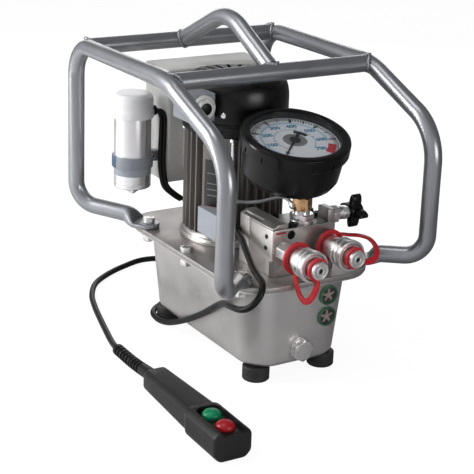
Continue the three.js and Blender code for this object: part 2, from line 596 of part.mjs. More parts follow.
const stemSocket = disc(7 + GAP, 150, stemTop + GAP)
  .translate(GAUGE.stemX, GAUGE.stemY, 0)
  .applyMatrix4(gauge.matrixWorld.clone().invert());
part('gauge_stem', stem.translate(GAUGE.stemX, GAUGE.stemY, 0), BRASS);
part('gauge_case', cut(turned([
  [0, -GAUGE.depth], [GAUGE.case - 15, -GAUGE.depth], [GAUGE.case - 6, -GAUGE.depth + 4],
  [GAUGE.case - 2, -GAUGE.depth + 11], [GAUGE.case, -22], [GAUGE.case, -2], [GAUGE.case - 4, -2],
  [GAUGE.case - 4, -6.6], [0, -6.6],
], 32), stemSocket), BLACK_PLASTIC, gauge);
part('gauge_boot', turned([
  [GAUGE.case + GAP, -16.5], [GAUGE.boot - 1.5, -16.5], [GAUGE.boot, -14.5], [GAUGE.boot, -3.5],
  [GAUGE.boot - 3, 0], [GAUGE.case, 0], [GAUGE.case - 5.5, -1], [GAUGE.case - 5.5, -1.7],
  [GAUGE.case + GAP, -1.7], [GAUGE.case + GAP, -16.5],
], 32), BLACK_RUBBER, gauge);
part('gauge_dial', cut(disc(GAUGE.case - 4.4, -6.3, -5, 28), disc(2, -20, 0, 12)), DIAL_WHITE, gauge);
part('gauge_lens', disc(GAUGE.case - 4.4, -3.3, -2, 28), GLASS, gauge);

/** The pointer: a hub whose pin stands in the dial, a long tapered arm and a short tail. */
function pointer() {
  const arm = new THREE.Shape([[-16, -2.4], [-16, 2.4], [0, 1.7], [43, 0.6], [43, -0.6], [0, -1.7]]
    .reverse().map(([x, y]) => new THREE.Vector2(x, y)));
  const solid = join(disc(1.6, -6.3, -4, 12), disc(4.5, -4.7, -3.7), raised(arm, -4.6, -4));
  return solid.rotateZ(THREE.MathUtils.degToRad(-128));
}
part('gauge_needle', pointer(), BLACK_PLASTIC, gauge);

// ---- hand pendant ----
const pendant = new THREE.Group();
pendant.position.set(PENDANT.x, PENDANT.y, PENDANT.z);
pendant.rotation.z = THREE.MathUtils.degToRad(-PENDANT.swing);
unit.add(pendant);

/** An outline across the pendant, pushed along -Y from one station to another. */
function lengthwise(shape, from, to) {
  const solid = new THREE.ExtrudeGeometry(shape, { depth: to - from, bevelEnabled: false, curveSegments: 5 });
  return solid.translate(0, 0, from).rotateX(Math.PI / 2);
}

/** The grip: a rounded section that widens from the cable's end to the head. */
function pendantGrip(from, to) {
  const solid = lengthwise(roundedRect(1, 1, 0.55), from, to);
  const places = solid.attributes.position;
  for (let i = 0; i < places.count; i += 1) {
    const part = (-places.getY(i) - from) / (to - from);
    places.setX(i, (places.getX(i) * THREE.MathUtils.lerp(PENDANT.neckWidth, PENDANT.gripWidth, part)) / 2);
    places.setZ(i, (places.getZ(i) * THREE.MathUtils.lerp(PENDANT.neckHeight, PENDANT.height - 2.5, part)) / 2);
  }
  return solid;
}

const halfHeight = PENDANT.height / 2;
const headStart = PENDANT.length - PENDANT.headLength;
const deck = halfHeight - PENDANT.pocketDepth;

function pendantShell() {
  const head = lengthwise(roundedRect(PENDANT.headWidth / 2, halfHeight, 7), headStart, PENDANT.length);
  const pocket = block(
    -PENDANT.pocketWidth / 2, PENDANT.pocketWidth / 2, -PENDANT.length - 1, -headStart - 5, deck, halfHeight + 1);
  const holes = [PENDANT.greenY, PENDANT.redY].map((y) =>
    disc(PENDANT.button + 0.5, deck - 13, halfHeight).translate(0, y, 0));
  const socket = aimed(disc(6, -1, 12, 16), [0, 0, 0], forward);
  return cut(join(pendantGrip(0, headStart + 8), head), pocket, ...holes, socket);
}
part('pendant_shell', pendantShell(), BLACK_PLASTIC, pendant);

for (const [name, y, material] of [
  ['button_green', PENDANT.greenY, GREEN_PLASTIC], ['button_red', PENDANT.redY, RED_PLASTIC],
]) {
  const radius = PENDANT.button;
  const button = turned([
    [0, -8], [radius, -8], [radius, 2.6], [radius - 2, 5.2], [radius - 5, 6.8], [0, 7.4],
  ]).translate(0, y, deck);
  part(name, button, material, pendant);
}

const reliefLine = smooth([
  [-162, -81.8, 17], [-161.7, -73, 16.6], [-160, -52, 13.6], [-157.8, -26, 10.6], [-155.7, 2, 9.1],
  [-154.5, 16, 8.2],
]);
part('pendant_strain_relief', tube(reliefLine, 7.4, 10, 8), BLACK_RUBBER);

// ---- pendant cable, from the front of the relay box over the lid's corner, down the tank and round behind it ----
const cableRoute = [
  [-46, -38.3, 161], [-46, -50, 161], [-46.5, -62, 159.5], [-49, -76, 155.5], [-53, -90, 149.5],
  [-56.8, -104, 143.7], [-60, -117, 138.3], [-62, -128.5, 134.9], [-63.4, -137, 132.9], [-65.4, -144.4, 130.9],
  [-68.6, -150.6, 127.2], [-72.8, -153.8, 121.8], [-77.5, -153.8, 115.6], [-82, -151.3, 109.8], [-85.7, -145.5, 105],
  [-87.6, -137, 101.9], [-87.4, -126, 99.6], [-85, -112, 96.8], [-79.5, -93, 91.5], [-74.5, -75, 83.4],
  [-71.8, -54, 70], [-69.5, -27, 52.5], [-68, 7, 33], [-67.5, 36, 18.5], [-67, 60, 9],
  [-66, 84, 4.3], [-61.5, 104, 4.1], [-47, 119.5, 4.1], [-22, 128, 4.1], [12, 137, 4.1], [44, 157, 4.1],
  [63, 192, 4.1], [66, 232, 4.1], [49, 265, 4.1], [16, 277, 4.1], [-20, 266, 4.1], [-54, 248, 4.1],
  [-82, 225, 4.1], [-104, 190, 4.1], [-118, 152, 4.1], [-128, 118, 4.1], [-138.5, 80, 4.1],
  [-147, 49, 4.8], [-152, 29, 6.7], [-154.6, 17, 8.3],
];
part('pendant_cable', tube(pacedByPoints(cableRoute), CABLE.radius, CABLE.sides, 2 * cableRoute.length - 2),
  BLACK_RUBBER);

// ---- origin: the middle of the footprint of everything but the cable, on the floor ----
unit.updateMatrixWorld(true);
const extent = new THREE.Box3();
unit.traverse((object) => {
  if (object.isMesh && object.name !== 'pendant_cable') extent.expandByObject(object);
});
unit.position.set(-(extent.min.x + extent.max.x) / 2, -(extent.min.y + extent.max.y) / 2, -extent.min.z);

const powerUnit = new THREE.Group();
powerUnit.name = 'hydraulic_power_unit';
powerUnit.add(unit);
powerUnit.updateMatrixWorld(true);

export default powerUnit;
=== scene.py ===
"""Looks of the portable hydraulic power unit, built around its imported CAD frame.

Lengths are in millimetres in the unit's own axes: x from the middle between the two hoops, y from the
middle of their length, z from the floor. at() and build() turn them into the frame's metres.
"""
import math
import random

import bpy
from mathutils import Matrix, Vector


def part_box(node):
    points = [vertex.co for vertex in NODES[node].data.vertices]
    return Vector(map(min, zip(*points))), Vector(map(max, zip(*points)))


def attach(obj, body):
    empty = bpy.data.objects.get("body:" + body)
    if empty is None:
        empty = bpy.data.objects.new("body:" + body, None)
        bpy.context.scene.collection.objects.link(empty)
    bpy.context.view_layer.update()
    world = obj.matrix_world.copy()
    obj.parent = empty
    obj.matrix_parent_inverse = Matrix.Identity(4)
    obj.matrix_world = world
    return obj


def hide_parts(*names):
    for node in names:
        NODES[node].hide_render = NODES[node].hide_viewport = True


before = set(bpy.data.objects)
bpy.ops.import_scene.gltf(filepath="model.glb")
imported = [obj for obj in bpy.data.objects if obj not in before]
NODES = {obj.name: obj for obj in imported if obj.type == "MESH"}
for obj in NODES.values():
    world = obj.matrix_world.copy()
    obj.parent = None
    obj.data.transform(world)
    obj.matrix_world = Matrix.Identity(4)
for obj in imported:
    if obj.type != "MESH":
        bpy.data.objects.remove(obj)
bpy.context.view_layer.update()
rng = random.Random(7)

MM = 0.001
X_AXIS, Y_AXIS, Z_AXIS = Vector((1, 0, 0)), Vector((0, 1, 0)), Vector((0, 0, 1))
FORWARD = -Y_AXIS
HOOP_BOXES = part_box("hoop_left"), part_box("hoop_right")
ORIGIN = Vector((
    (HOOP_BOXES[0][0].x + HOOP_BOXES[1][1].x) / 2,
    (HOOP_BOXES[0][0].y + HOOP_BOXES[0][1].y) / 2, 0))


def at(x, y, z):
    """A point of the unit's axes, in the frame's metres."""
    return ORIGIN + Vector((x, y, z)) * MM


# ---- camera
CAMERA_PLACE = (-798, -1254, 647)
CAMERA_FORWARD = Vector((0.5032, 0.7986, -0.3303))
CAMERA_UP = Vector((0.1457, 0.2983, 0.9433))
CAMERA_LENS, SENSOR_WIDTH, CLIP_END = 101.85, 36, 50


def add_camera():
    forward = CAMERA_FORWARD.normalized()
    right = forward.cross(CAMERA_UP).normalized()
    up = right.cross(forward)
    camera = bpy.data.objects.new("camera", bpy.data.cameras.new("camera"))
    camera.data.lens = CAMERA_LENS
    camera.data.sensor_width = SENSOR_WIDTH
    camera.data.clip_end = CLIP_END
    turn = Matrix((right, up, -forward)).transposed().to_4x4()
    camera.matrix_world = Matrix.Translation(at(*CAMERA_PLACE)) @ turn
    bpy.context.scene.collection.objects.link(camera)
    bpy.context.scene.camera = camera


add_camera()


# ---- lines
TINY = 1e-6
NEARLY_STRAIGHT = math.pi - 0.08


def polar(radius, angle):
    return radius * math.cos(angle), radius * math.sin(angle)


def eased(value, start, length):
    """0 up to start and 1 from start + length on, with a smooth step between them."""
    share = min(max((value - start) / length, 0), 1)
    return share * share * (3 - 2 * share)


def spline(points, per_span=6):
    """A centripetal Catmull-Rom line through the points, as the CAD's own smooth lines are."""
    nodes = [Vector(p) for p in points]
    ends = [2 * nodes[0] - nodes[1]] + nodes + [2 * nodes[-1] - nodes[-2]]
    line = []
    for i in range(1, len(ends) - 2):
        p0, p1, p2, p3 = ends[i - 1:i + 3]
        knots = [0.0]
        for a, b in ((p0, p1), (p1, p2), (p2, p3)):
            knots.append(knots[-1] + max((b - a).length, TINY) ** 0.5)
        t0, t1, t2, t3 = knots
        for k in range(per_span):
            t = t1 + (t2 - t1) * k / per_span
            a1 = p0 * ((t1 - t) / (t1 - t0)) + p1 * ((t - t0) / (t1 - t0))
            a2 = p1 * ((t2 - t) / (t2 - t1)) + p2 * ((t - t1) / (t2 - t1))
            a3 = p2 * ((t3 - t) / (t3 - t2)) + p3 * ((t - t2) / (t3 - t2))
            b1 = a1 * ((t2 - t) / (t2 - t0)) + a2 * ((t - t0) / (t2 - t0))
            b2 = a2 * ((t3 - t) / (t3 - t1)) + a3 * ((t - t1) / (t3 - t1))
            line.append(b1 * ((t2 - t) / (t2 - t1)) + b2 * ((t - t1) / (t2 - t1)))
    return line + [nodes[-1]]


def bent(corners, bends, steps=12):
    """A line of straight runs with a round bend of the given radius at each inner corner."""
    points = [Vector(c) for c in corners]
    line = [points[0]]
    for here, radius, before, after in zip(points[1:-1], bends, points[:-2], points[2:]):
        back = (before - here).normalized()
        ahead = (after - here).normalized()
        half = back.angle(ahead) / 2
        reach = radius / math.tan(half)
        centre = here + (back + ahead).normalized() * (radius / math.sin(half))
        start = here + back * reach - centre
        end = here + ahead * reach - centre
        swing = start.angle(end)
        axis = start.cross(end).normalized()
        for k in range(steps + 1):
            line.append(centre + Matrix.Rotation(swing * k / steps, 3, axis) @ start)
    return line + [points[-1]]


def corner_curve(start, corner, end, steps):
    """A smooth curve that leaves one edge at start and joins the next at end, instead of the corner."""
    shares = [k / steps for k in range(steps + 1)]
    return [start * (1 - t) ** 2 + corner * 2 * t * (1 - t) + end * t ** 2 for t in shares]


def round_profile(profile, radius, steps=3):
    """A profile of [radius, height] points with its inner corners rounded off."""
    points = [Vector(p) for p in profile]
    done = [points[0]]
    for here, before, after in zip(points[1:-1], points[:-2], points[2:]):
        back, ahead = before - here, after - here
        if min(back.length, ahead.length) < TINY:
            continue
        angle = back.angle(ahead)
        if angle > NEARLY_STRAIGHT:
            done.append(here)
            continue
        reach = min(radius / math.tan(angle / 2), 0.45 * back.length, 0.45 * ahead.length)
        start = here + back.normalized() * reach
        end = here + ahead.normalized() * reach
        done += corner_curve(start, here, end, steps)
    return done + [points[-1]]


# ---- solids, as (points, faces)
def skin(points, count):
    """Closes rings of count points each, from the first ring to the last, with a flat face at either end."""
    last = len(points) - count
    faces = []
    for start in range(0, last, count):
        for i in range(count):
            j = (i + 1) % count
            faces.append((start + i, start + j, start + count + j, start + count + i))
    faces.append(tuple(reversed(range(count))))
    faces.append(tuple(range(last, last + count)))
    return points, faces


def lathe(profile, segments=48, rounding=0.0, steps=3):
    """A closed solid: the profile from the axis back to the axis, or a closed loop, turned about +Z."""
    if rounding:
        profile = round_profile(profile, rounding, steps)
    points, faces, rows = [], [], []
    for radius, height in profile:
        if abs(radius) < TINY:
            rows.append([len(points)])
            points.append(Vector((0, 0, height)))
            continue
        rows.append(range(len(points), len(points) + segments))
        for i in range(segments):
            angle = 2 * math.pi * i / segments
            points.append(Vector((*polar(radius, angle), height)))
    closed = len(rows[0]) > 1
    pairs = list(zip(rows, rows[1:]))
    if closed and (Vector(profile[0]) - Vector(profile[-1])).length > TINY:
        pairs.append((rows[-1], rows[0]))
    elif closed:
        del points[-segments:]
        pairs[-1] = (rows[-2], rows[0])
    for low, high in pairs:
        for i in range(segments):
            j = (i + 1) % segments
            if len(low) == 1:
                faces.append((low[0], high[j], high[i]))
            elif len(high) == 1:
                faces.append((low[i], low[j], high[0]))
            else:
                faces.append((low[i], low[j], high[j], high[i]))
    return points, faces


def prism(outline, low, high, edge=0.0, steps=3):
    """An outline of (x, y) points raised from low to high, its two rims rounded off by edge."""
    count = len(outline)
    turns = [math.pi / 2 * k / steps for k in range(steps + 1)] if edge else []
    rim = [(edge * (1 - math.cos(a)), edge * (1 - math.sin(a))) for a in turns] or [(0.0, 0.0)]
    levels = [(low + rise, inset) for rise, inset in rim]
    levels += [(high - rise, inset) for rise, inset in reversed(rim)]
    flat = [Vector(p) for p in outline]
    inward = []
    for i, here in enumerate(flat):
        before, after = flat[i - 1], flat[(i + 1) % count]
        side = (here - before).normalized() + (after - here).normalized()
        normal = Vector((-side.y, side.x)).normalized()
        turn = (here - before).normalized().dot((after - here).normalized())
        inward.append(normal / max(math.sqrt((1 + turn) / 2), 0.5))
    if sum((a.x * b.y - a.y * b.x) for a, b in zip(flat, flat[1:] + flat[:1])) < 0:
        inward = [-v for v in inward]
    points = []
    for height, inset in levels:
        for here, normal in zip(flat, inward):
            points.append(Vector((*(here + normal * inset), height)))
    return skin(points, count)


def rounded_rect(half_x, half_y, radius, steps=8, centre=(0, 0)):
    outline = []
    for quarter, (sx, sy) in enumerate(((1, 1), (-1, 1), (-1, -1), (1, -1))):
        for k in range(steps + 1):
            x, y = polar(radius, math.pi / 2 * (quarter + k / steps))
            outline.append((centre[0] + sx * (half_x - radius) + x, centre[1] + sy * (half_y - radius) + y))
    return outline


def sector(angle_from, angle_to, inner, outer, steps=None):
    """A band about the axis, between two angles in degrees and two radii."""
    steps = steps or max(2, int(abs(angle_to - angle_from) / 4))
    outline = []
    for reach, order in ((inner, 1), (outer, -1)):
        for k in range(steps + 1)[::order]:
            outline.append(polar(reach, math.radians(angle_from + (angle_to - angle_from) * k / steps)))
    return outline


def hexagon(flats, low, high, chamfer=0.12):
    """A hexagon bar with eased corners, whose two ends are turned down to a round chamfer."""
    corner = flats / math.sqrt(3)
    fall = corner * chamfer * 0.6
    steps = 36
    points = []
    for height, widest in ((low, flats / 2), (low + fall, corner), (high - fall, corner), (high, flats / 2)):
        for i in range(steps):
            angle = 2 * math.pi * i / steps
            from_flat = angle % (math.pi / 3) - math.pi / 6
            reach = min(flats / 2 / math.cos(from_flat), widest * 0.985)
            points.append(Vector((*polar(reach, angle), height)))
    return skin(points, steps)


def sweep(line, section, sides=24, start_up=Z_AXIS, end_up=None):
    """A tube along a line. section(i, share) gives (half width, half height, squareness, rise)."""
    tangents = []
    for i in range(len(line)):
        a, b = line[max(i - 1, 0)], line[min(i + 1, len(line) - 1)]
        tangents.append((b - a).normalized())
    ups = [(start_up - tangents[0] * start_up.dot(tangents[0])).normalized()]
    lengths = [0.0]
    for i in range(1, len(line)):
        turn = tangents[i - 1].rotation_difference(tangents[i])
        carried = turn @ ups[-1]
        ups.append((carried - tangents[i] * carried.dot(tangents[i])).normalized())
        lengths.append(lengths[-1] + (line[i] - line[i - 1]).length)
    twist = 0.0
    if end_up is not None:
        wanted = (end_up - tangents[-1] * end_up.dot(tangents[-1])).normalized()
        twist = math.atan2(ups[-1].cross(wanted).dot(tangents[-1]), ups[-1].dot(wanted))
    points, faces = [], []
    for i, here in enumerate(line):
        share = lengths[i] / lengths[-1]
        up = Matrix.Rotation(twist * share, 3, tangents[i]) @ ups[i]
        side = tangents[i].cross(up)
        half_width, half_height, squareness, rise = section(i, share)
        for k in range(sides):
            angle = 2 * math.pi * k / sides
            c, s = math.cos(angle), math.sin(angle)
            power = 2 / squareness
            a = half_width * math.copysign(abs(c) ** power, c)
            b = half_height * math.copysign(abs(s) ** power, s)
            points.append(here + side * a + up * (b + rise))
    for i in range(len(line) - 1):
        for k in range(sides):
            m = (k + 1) % sides
            faces.append((i * sides + m, i * sides + k, (i + 1) * sides + k, (i + 1) * sides + m))
    faces.append(tuple(range(sides)))
    faces.append(tuple(reversed(range((len(line) - 1) * sides, len(line) * sides))))
    return points, faces


def tube(line, radius, sides=24):
    return sweep([Vector(p) for p in line], lambda i, share: (radius, radius, 2, 0), sides)


def moved(solid, place=(0, 0, 0), direction=Z_AXIS, spin=0.0, matrix=None):
    """A solid made about +Z, spun about it, aimed along a direction and put in its place."""
    points, faces = solid
    turn = Z_AXIS.rotation_difference(Vector(direction)).to_matrix() @ Matrix.Rotation(spin, 3, "Z")
    spots = [turn @ p + Vector(place) for p in points]
    if matrix is not None:
        spots = [matrix @ p for p in spots]
    return spots, faces


def disc(radius, low, high, segments=24):
    return lathe([(0, low), (radius, low), (radius, high), (0, high)], segments)


def hollow(inner, outer, low, high, segments=64, rounding=0.0):
    """A ring with a square section."""
    loop = [(inner, low), (outer, low), (outer, high), (inner, high), (inner, low)]
    return lathe(loop, segments, rounding)


def merged(*solids):
    """Several solids as one, each keeping its own closed surface."""
    points, faces = [], []
    for more_points, more_faces in solids:
        offset = len(points)
        points += more_points
        faces += [tuple(i + offset for i in face) for face in more_faces]
    return points, faces


# ---- pieces
SMOOTH_ANGLE, BEVEL_ANGLE = math.radians(34), math.radians(40)


def soften(mesh, angle=SMOOTH_ANGLE):
    mesh.shade_smooth()
    mesh.set_sharp_from_angle(angle=angle)


def bare(name, solid):
    points, faces = solid
    mesh = bpy.data.meshes.new(name)
    mesh.from_pydata([at(*p) for p in points], [], faces)
    mesh.validate()
    piece = bpy.data.objects.new(name, mesh)
    bpy.context.scene.collection.objects.link(piece)
    return piece


def give_material(piece, material, bevel):
    piece.data.materials.clear()
    piece.data.materials.append(material)
    soften(piece.data)
    if bevel:
        add_bevel(piece, bevel)


def finished(piece, material, body="unit", stands_for=(), bevel=0.0):
    """Gives a piece its material, edges, body and the CAD nodes that it stands for."""
    give_material(piece, material, bevel)
    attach(piece, body)
    if stands_for:
        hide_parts(*stands_for)
    return piece


def add_bevel(piece, width):
    modifier = piece.modifiers.new("edges", "BEVEL")
    modifier.width = width * MM
    modifier.segments = 2
    modifier.limit_method = "ANGLE"
    modifier.angle_limit = BEVEL_ANGLE
    modifier.harden_normals = True


def build(name, solid, material, body="unit", stands_for=(), bevel=0.0):
    return finished(bare(name, solid), material, body, stands_for, bevel)


def carve(piece, *cutters):
    """Cuts solids out of a piece and keeps the result as its mesh."""
    tools = []
    for number, cutter in enumerate(cutters):
        tool = cutter if isinstance(cutter, bpy.types.Object) else bare(f"cutter_{number}", cutter)
        modifier = piece.modifiers.new("cut", "BOOLEAN")
        modifier.operation = "DIFFERENCE"
        modifier.solver = "EXACT"
        modifier.object = tool
        tools.append(tool)
    bpy.context.view_layer.update()
    graph = bpy.context.evaluated_depsgraph_get()
    mesh = bpy.data.meshes.new_from_object(piece.evaluated_get(graph))
    piece.modifiers.clear()
    piece.data = mesh
    for tool in tools:
        bpy.data.objects.remove(tool)
    return piece


def dress(node, material, bevel=0.0):
    """A CAD node that stays: it gets a procedural material and softened edges."""
    give_material(NODES[node], material, bevel)


# ---- materials
def shader(name, color, roughness, metallic=0.0, coat=0.0, coat_roughness=0.1, specular=0.5):
    material = bpy.data.materials.new(name)
    material.use_nodes = True
    tree = material.node_tree
    principled = tree.nodes["Principled BSDF"]
    principled.inputs["Base Color"].default_value = (*color, 1)
    principled.inputs["Roughness"].default_value = roughness
    principled.inputs["Metallic"].default_value = metallic
    principled.inputs["Coat Weight"].default_value = coat
    principled.inputs["Coat Roughness"].default_value = coat_roughness
    principled.inputs["Specular IOR Level"].default_value = specular
    return material, tree, principled


def feed(tree, socket, value):
    """Links another node's output into a socket, or sets the socket to a constant."""
    if hasattr(value, "node"):
        tree.links.new(value, socket)
    else:
        socket.default_value = value


def add(tree, kind, **inputs):
    """A new node, its inputs given by their names, with _ for a space."""
    node = tree.nodes.new(kind)
    for label, value in inputs.items():
        feed(tree, node.inputs[label.replace("_", " ")], value)
    return node


def noise_field(tree, scale, stretch=(1, 1, 1), detail=4.0, roughness=0.55, low=0.35, high=0.65):
    """Noise in the object's own space, spread to 0..1. scale is in cells per metre."""
    place = add(tree, "ShaderNodeTexCoord").outputs["Object"]
    stretched = add(tree, "ShaderNodeMapping", Vector=place, Scale=stretch).outputs["Vector"]
    noise = add(tree, "ShaderNodeTexNoise", Vector=stretched, Scale=scale, Detail=detail, Roughness=roughness)
    spread = add(tree, "ShaderNodeMapRange", Value=noise.outputs["Fac"], From_Min=low, From_Max=high)
    return spread.outputs["Result"]


def ranged(tree, value, low, high):
    return add(tree, "ShaderNodeMapRange", Value=value, To_Min=low, To_Max=high).outputs["Result"]


def blended(tree, factor, first, second):
    """A colour between two, each a colour or another node's output."""
    mix = tree.nodes.new("ShaderNodeMix")
    mix.data_type = "RGBA"
    tree.links.new(factor, mix.inputs["Factor"])
    for socket, value in ((mix.inputs[6], first), (mix.inputs[7], second)):
        feed(tree, socket, value if hasattr(value, "node") else (*value, 1))
    return mix.outputs[2]


def combined(tree, operation, first, second):
    node = tree.nodes.new("ShaderNodeMath")
    node.operation = operation
    tree.links.new(first, node.inputs[0])
    tree.links.new(second, node.inputs[1])
    return node.outputs[0]


def coordinate(tree, space, axis):
    place = add(tree, "ShaderNodeTexCoord").outputs[space]
    return add(tree, "ShaderNodeSeparateXYZ", Vector=place).outputs[axis]


def worn(tree):
    """A mask that is 1 along outer edges, broken up by noise."""
    pointed = add(tree, "ShaderNodeNewGeometry").outputs["Pointiness"]
    edge = add(tree, "ShaderNodeMapRange", Value=pointed, From_Min=0.52, From_Max=0.6).outputs["Result"]
    return combined(tree, "MULTIPLY", edge, noise_field(tree, 260, low=0.38, high=0.6))


def top_shade_mask(tree):
    """A mask that is 1 on the faces that look up, where the painted shade on tops goes."""
    up = coordinate(tree, "Normal", "Z")
    return add(tree, "ShaderNodeMapRange", Value=up, From_Min=0.6, From_Max=0.8).outputs["Result"]


def surface(name, color, dark, roughness, metallic=0.0, cloud=18, stretch=(1, 1, 1), grain=900,
            grain_depth=0.00002, grain_strength=0.3, spread=0.1, edge=None, top=None, **more):
    """The usual material: cloudy colour, uneven gloss and a fine grain.

    edge is the colour of worn edges, and top is the colour of the faces that look up, a painted shade on the
    tops.
    """
    material, tree, principled = shader(name, color, roughness, metallic, **more)
    clouds = noise_field(tree, cloud, low=0.3, high=0.7)
    paint = blended(tree, clouds, dark, color)
    fine = noise_field(tree, grain, stretch, detail=3)
    if edge:
        paint = blended(tree, worn(tree), paint, edge)
    # painted shade: the faces that look up take the top colour, set by which way each face looks
    if top:
        paint = blended(tree, top_shade_mask(tree), paint, top)
    tree.links.new(paint, principled.inputs["Base Color"])
    gloss = noise_field(tree, cloud * 2.3, low=0.3, high=0.7)
    tree.links.new(ranged(tree, gloss, roughness - spread / 2, roughness + spread / 2),
                   principled.inputs["Roughness"])
    bump = add(tree, "ShaderNodeBump", Strength=grain_strength, Distance=grain_depth, Height=fine)
    tree.links.new(bump.outputs["Normal"], principled.inputs["Normal"])
    return material


HORIZONTAL_BRUSH = (0.05, 0.05, 1)
PAINT = surface("silver_enamel", (0.31, 0.32, 0.338), (0.28, 0.29, 0.308), 0.32, 0.78, cloud=9, grain=1500,
                grain_depth=0.000015, coat=0.35, coat_roughness=0.12)
WELD = surface("weld_paint", (0.34, 0.35, 0.37), (0.27, 0.28, 0.3), 0.42, 0.7, grain=700, grain_depth=0.0002,
               grain_strength=0.8)
STAINLESS = surface("tank_steel", (0.7, 0.675, 0.66), (0.57, 0.55, 0.537), 0.35, 0.88, cloud=14,
                    stretch=HORIZONTAL_BRUSH, grain=1800, grain_depth=0.00003, grain_strength=0.45,
                    spread=0.16)
LID_STEEL = surface("lid_steel", (0.4, 0.377, 0.364), (0.33, 0.311, 0.3), 0.4, 0.86, cloud=16,
                    stretch=(0.05, 1, 0.05), grain=1700, grain_depth=0.00003, grain_strength=0.4, spread=0.14,
                    edge=(0.75, 0.73, 0.71))
ZINC = surface("zinc_plate", (0.84, 0.835, 0.82), (0.74, 0.735, 0.73), 0.27, 0.95, cloud=40, grain=1200,
               spread=0.1)
NICKEL = surface("nickel_plate", (0.86, 0.85, 0.84), (0.8, 0.79, 0.78), 0.33, 1.0, cloud=20, grain=1600,
                 grain_depth=0.000006, spread=0.06)
# top: painted shade that darkens the block's faces that look up
MACHINED = surface("machined_block", (0.5, 0.475, 0.455), (0.44, 0.42, 0.4), 0.33, 0.9, cloud=12,
                   stretch=(1, 1, 0.06), grain=2200, grain_depth=0.00002, spread=0.12, top=(0.26, 0.25, 0.24))
COVER = surface("anodised_cover", (0.44, 0.42, 0.405), (0.38, 0.365, 0.35), 0.36, 0.85, cloud=12, grain=1800)
BRASS = surface("brass", (0.62, 0.38, 0.2), (0.48, 0.27, 0.13), 0.26, 1.0, cloud=70, grain=1500, spread=0.12,
                edge=(0.8, 0.62, 0.4))
MOTOR_PAINT = surface("motor_enamel", (0.16, 0.145, 0.135), (0.125, 0.112, 0.104), 0.34, 0.45, cloud=12,
                      grain=1100, grain_depth=0.00003, coat=0.2)
RIM_STEEL = surface("flange_casting", (0.56, 0.54, 0.52), (0.48, 0.463, 0.447), 0.3, 0.9, cloud=30, grain=900,
                    spread=0.08)
GLOSS_BLACK = surface("black_enamel", (0.0045, 0.0045, 0.005), (0.0035, 0.0035, 0.0035), 0.28, 0.0, cloud=25,
                      grain=900, grain_depth=0.00001, spread=0.05, specular=0.3)
SATIN_BLACK = surface("black_plastic", (0.005, 0.005, 0.0054), (0.004, 0.004, 0.0043), 0.26, 0.0, cloud=30,
                      grain=1500, spread=0.05, specular=0.24)
BOOT_RUBBER = surface("boot_rubber", (0.004, 0.004, 0.0044), (0.003, 0.003, 0.0033), 0.2, 0.0, cloud=22,
                      grain=1300, grain_depth=0.000006, spread=0.05, specular=0.24)
FOOT_RUBBER = surface("foot_rubber", (0.02, 0.02, 0.02), (0.013, 0.013, 0.013), 0.62, 0.0, cloud=40,
                      grain=900, grain_depth=0.00008, edge=(0.07, 0.065, 0.06))
CABLE_RUBBER = surface("cable_jacket", (0.006, 0.006, 0.0065), (0.0045, 0.0045, 0.0045), 0.38, 0.0,
                       cloud=60, specular=0.22, grain=1100, grain_depth=0.00003)
PENDANT_PLASTIC = surface("pendant_plastic", (0.018, 0.0175, 0.0178), (0.014, 0.0137, 0.0139), 0.36, 0.0,
                          cloud=20, grain=1900, grain_depth=0.00006, grain_strength=0.5, specular=0.2)
BOX_PLASTIC = surface("box_plastic", (0.62, 0.615, 0.59), (0.57, 0.565, 0.545), 0.45, 0.0, cloud=12,
                      grain=1500, grain_depth=0.00004, edge=(0.78, 0.775, 0.75))
BLUE_GREY = surface("terminal_plastic", (0.25, 0.27, 0.295), (0.215, 0.232, 0.256), 0.42, 0.0, cloud=30,
                    grain=1500, grain_depth=0.00004)
CAP_PLASTIC = surface("cap_plastic", (0.8, 0.8, 0.805), (0.75, 0.75, 0.76), 0.33, 0.0, cloud=40, grain=1300)
CAN_ALUMINIUM = surface("can_aluminium", (0.9, 0.9, 0.91), (0.84, 0.84, 0.85), 0.34, 0.95, cloud=8,
                        stretch=(1, 1, 0.04), grain=2400, grain_depth=0.00001, spread=0.08)
STRAP_RED = surface("strap_rubber", (0.52, 0.012, 0.022), (0.44, 0.01, 0.018), 0.42, 0.0, cloud=60,
                    grain=1200, grain_depth=0.00004)
LABEL_PAPER = surface("plain_label", (0.8, 0.8, 0.79), (0.74, 0.74, 0.735), 0.4, 0.0, cloud=50, grain=1600)
DARK_PLATE = surface("rating_plate", (0.035, 0.035, 0.037), (0.025, 0.025, 0.026), 0.3, 0.3, cloud=60,
                     grain=1500)
DIAL_PAPER = surface("dial_face", (0.74, 0.77, 0.81), (0.69, 0.72, 0.76), 0.45, 0.0, cloud=60, grain=1600)


def plain(name, color, roughness, metallic=0.0, **more):
    dark = tuple(0.85 * c for c in color)
    return surface(name, color, dark, roughness, metallic, cloud=80, grain=1600, **more)


DIAL_BLUE = plain("dial_blue", (0.04, 0.22, 0.36), 0.5)
DIAL_PALE_BLUE = plain("dial_pale_blue", (0.36, 0.6, 0.74), 0.5)
DIAL_BLACK = plain("dial_black", (0.006, 0.006, 0.007), 0.45, specular=0.3)
DIAL_GREY = plain("dial_grey", (0.2, 0.205, 0.215), 0.45)
DIAL_RED = plain("dial_red", (0.55, 0.02, 0.03), 0.45)
GREEN_CAP = plain("green_button_cap", (0.0, 0.22, 0.09), 0.28, specular=0.35)
RED_CAP = plain("red_button_cap", (0.36, 0.01, 0.016), 0.28, specular=0.35)
SIGHT_GREEN = plain("sight_ring_green", (0.07, 0.19, 0.11), 0.3, 0.5)
SIGHT_DARK = plain("sight_dark", (0.02, 0.012, 0.011), 0.3)
SIGHT_PINK = plain("sight_reflector", (0.5, 0.38, 0.34), 0.35, 0.5)
# near-black for dark joints, also used as painted shade in the cover's slot
SEAM_AND_SHADE = plain("seam_shadow", (0.01, 0.01, 0.01), 0.7)
GREY_SEAM = plain("box_seam", (0.2, 0.2, 0.19), 0.7)
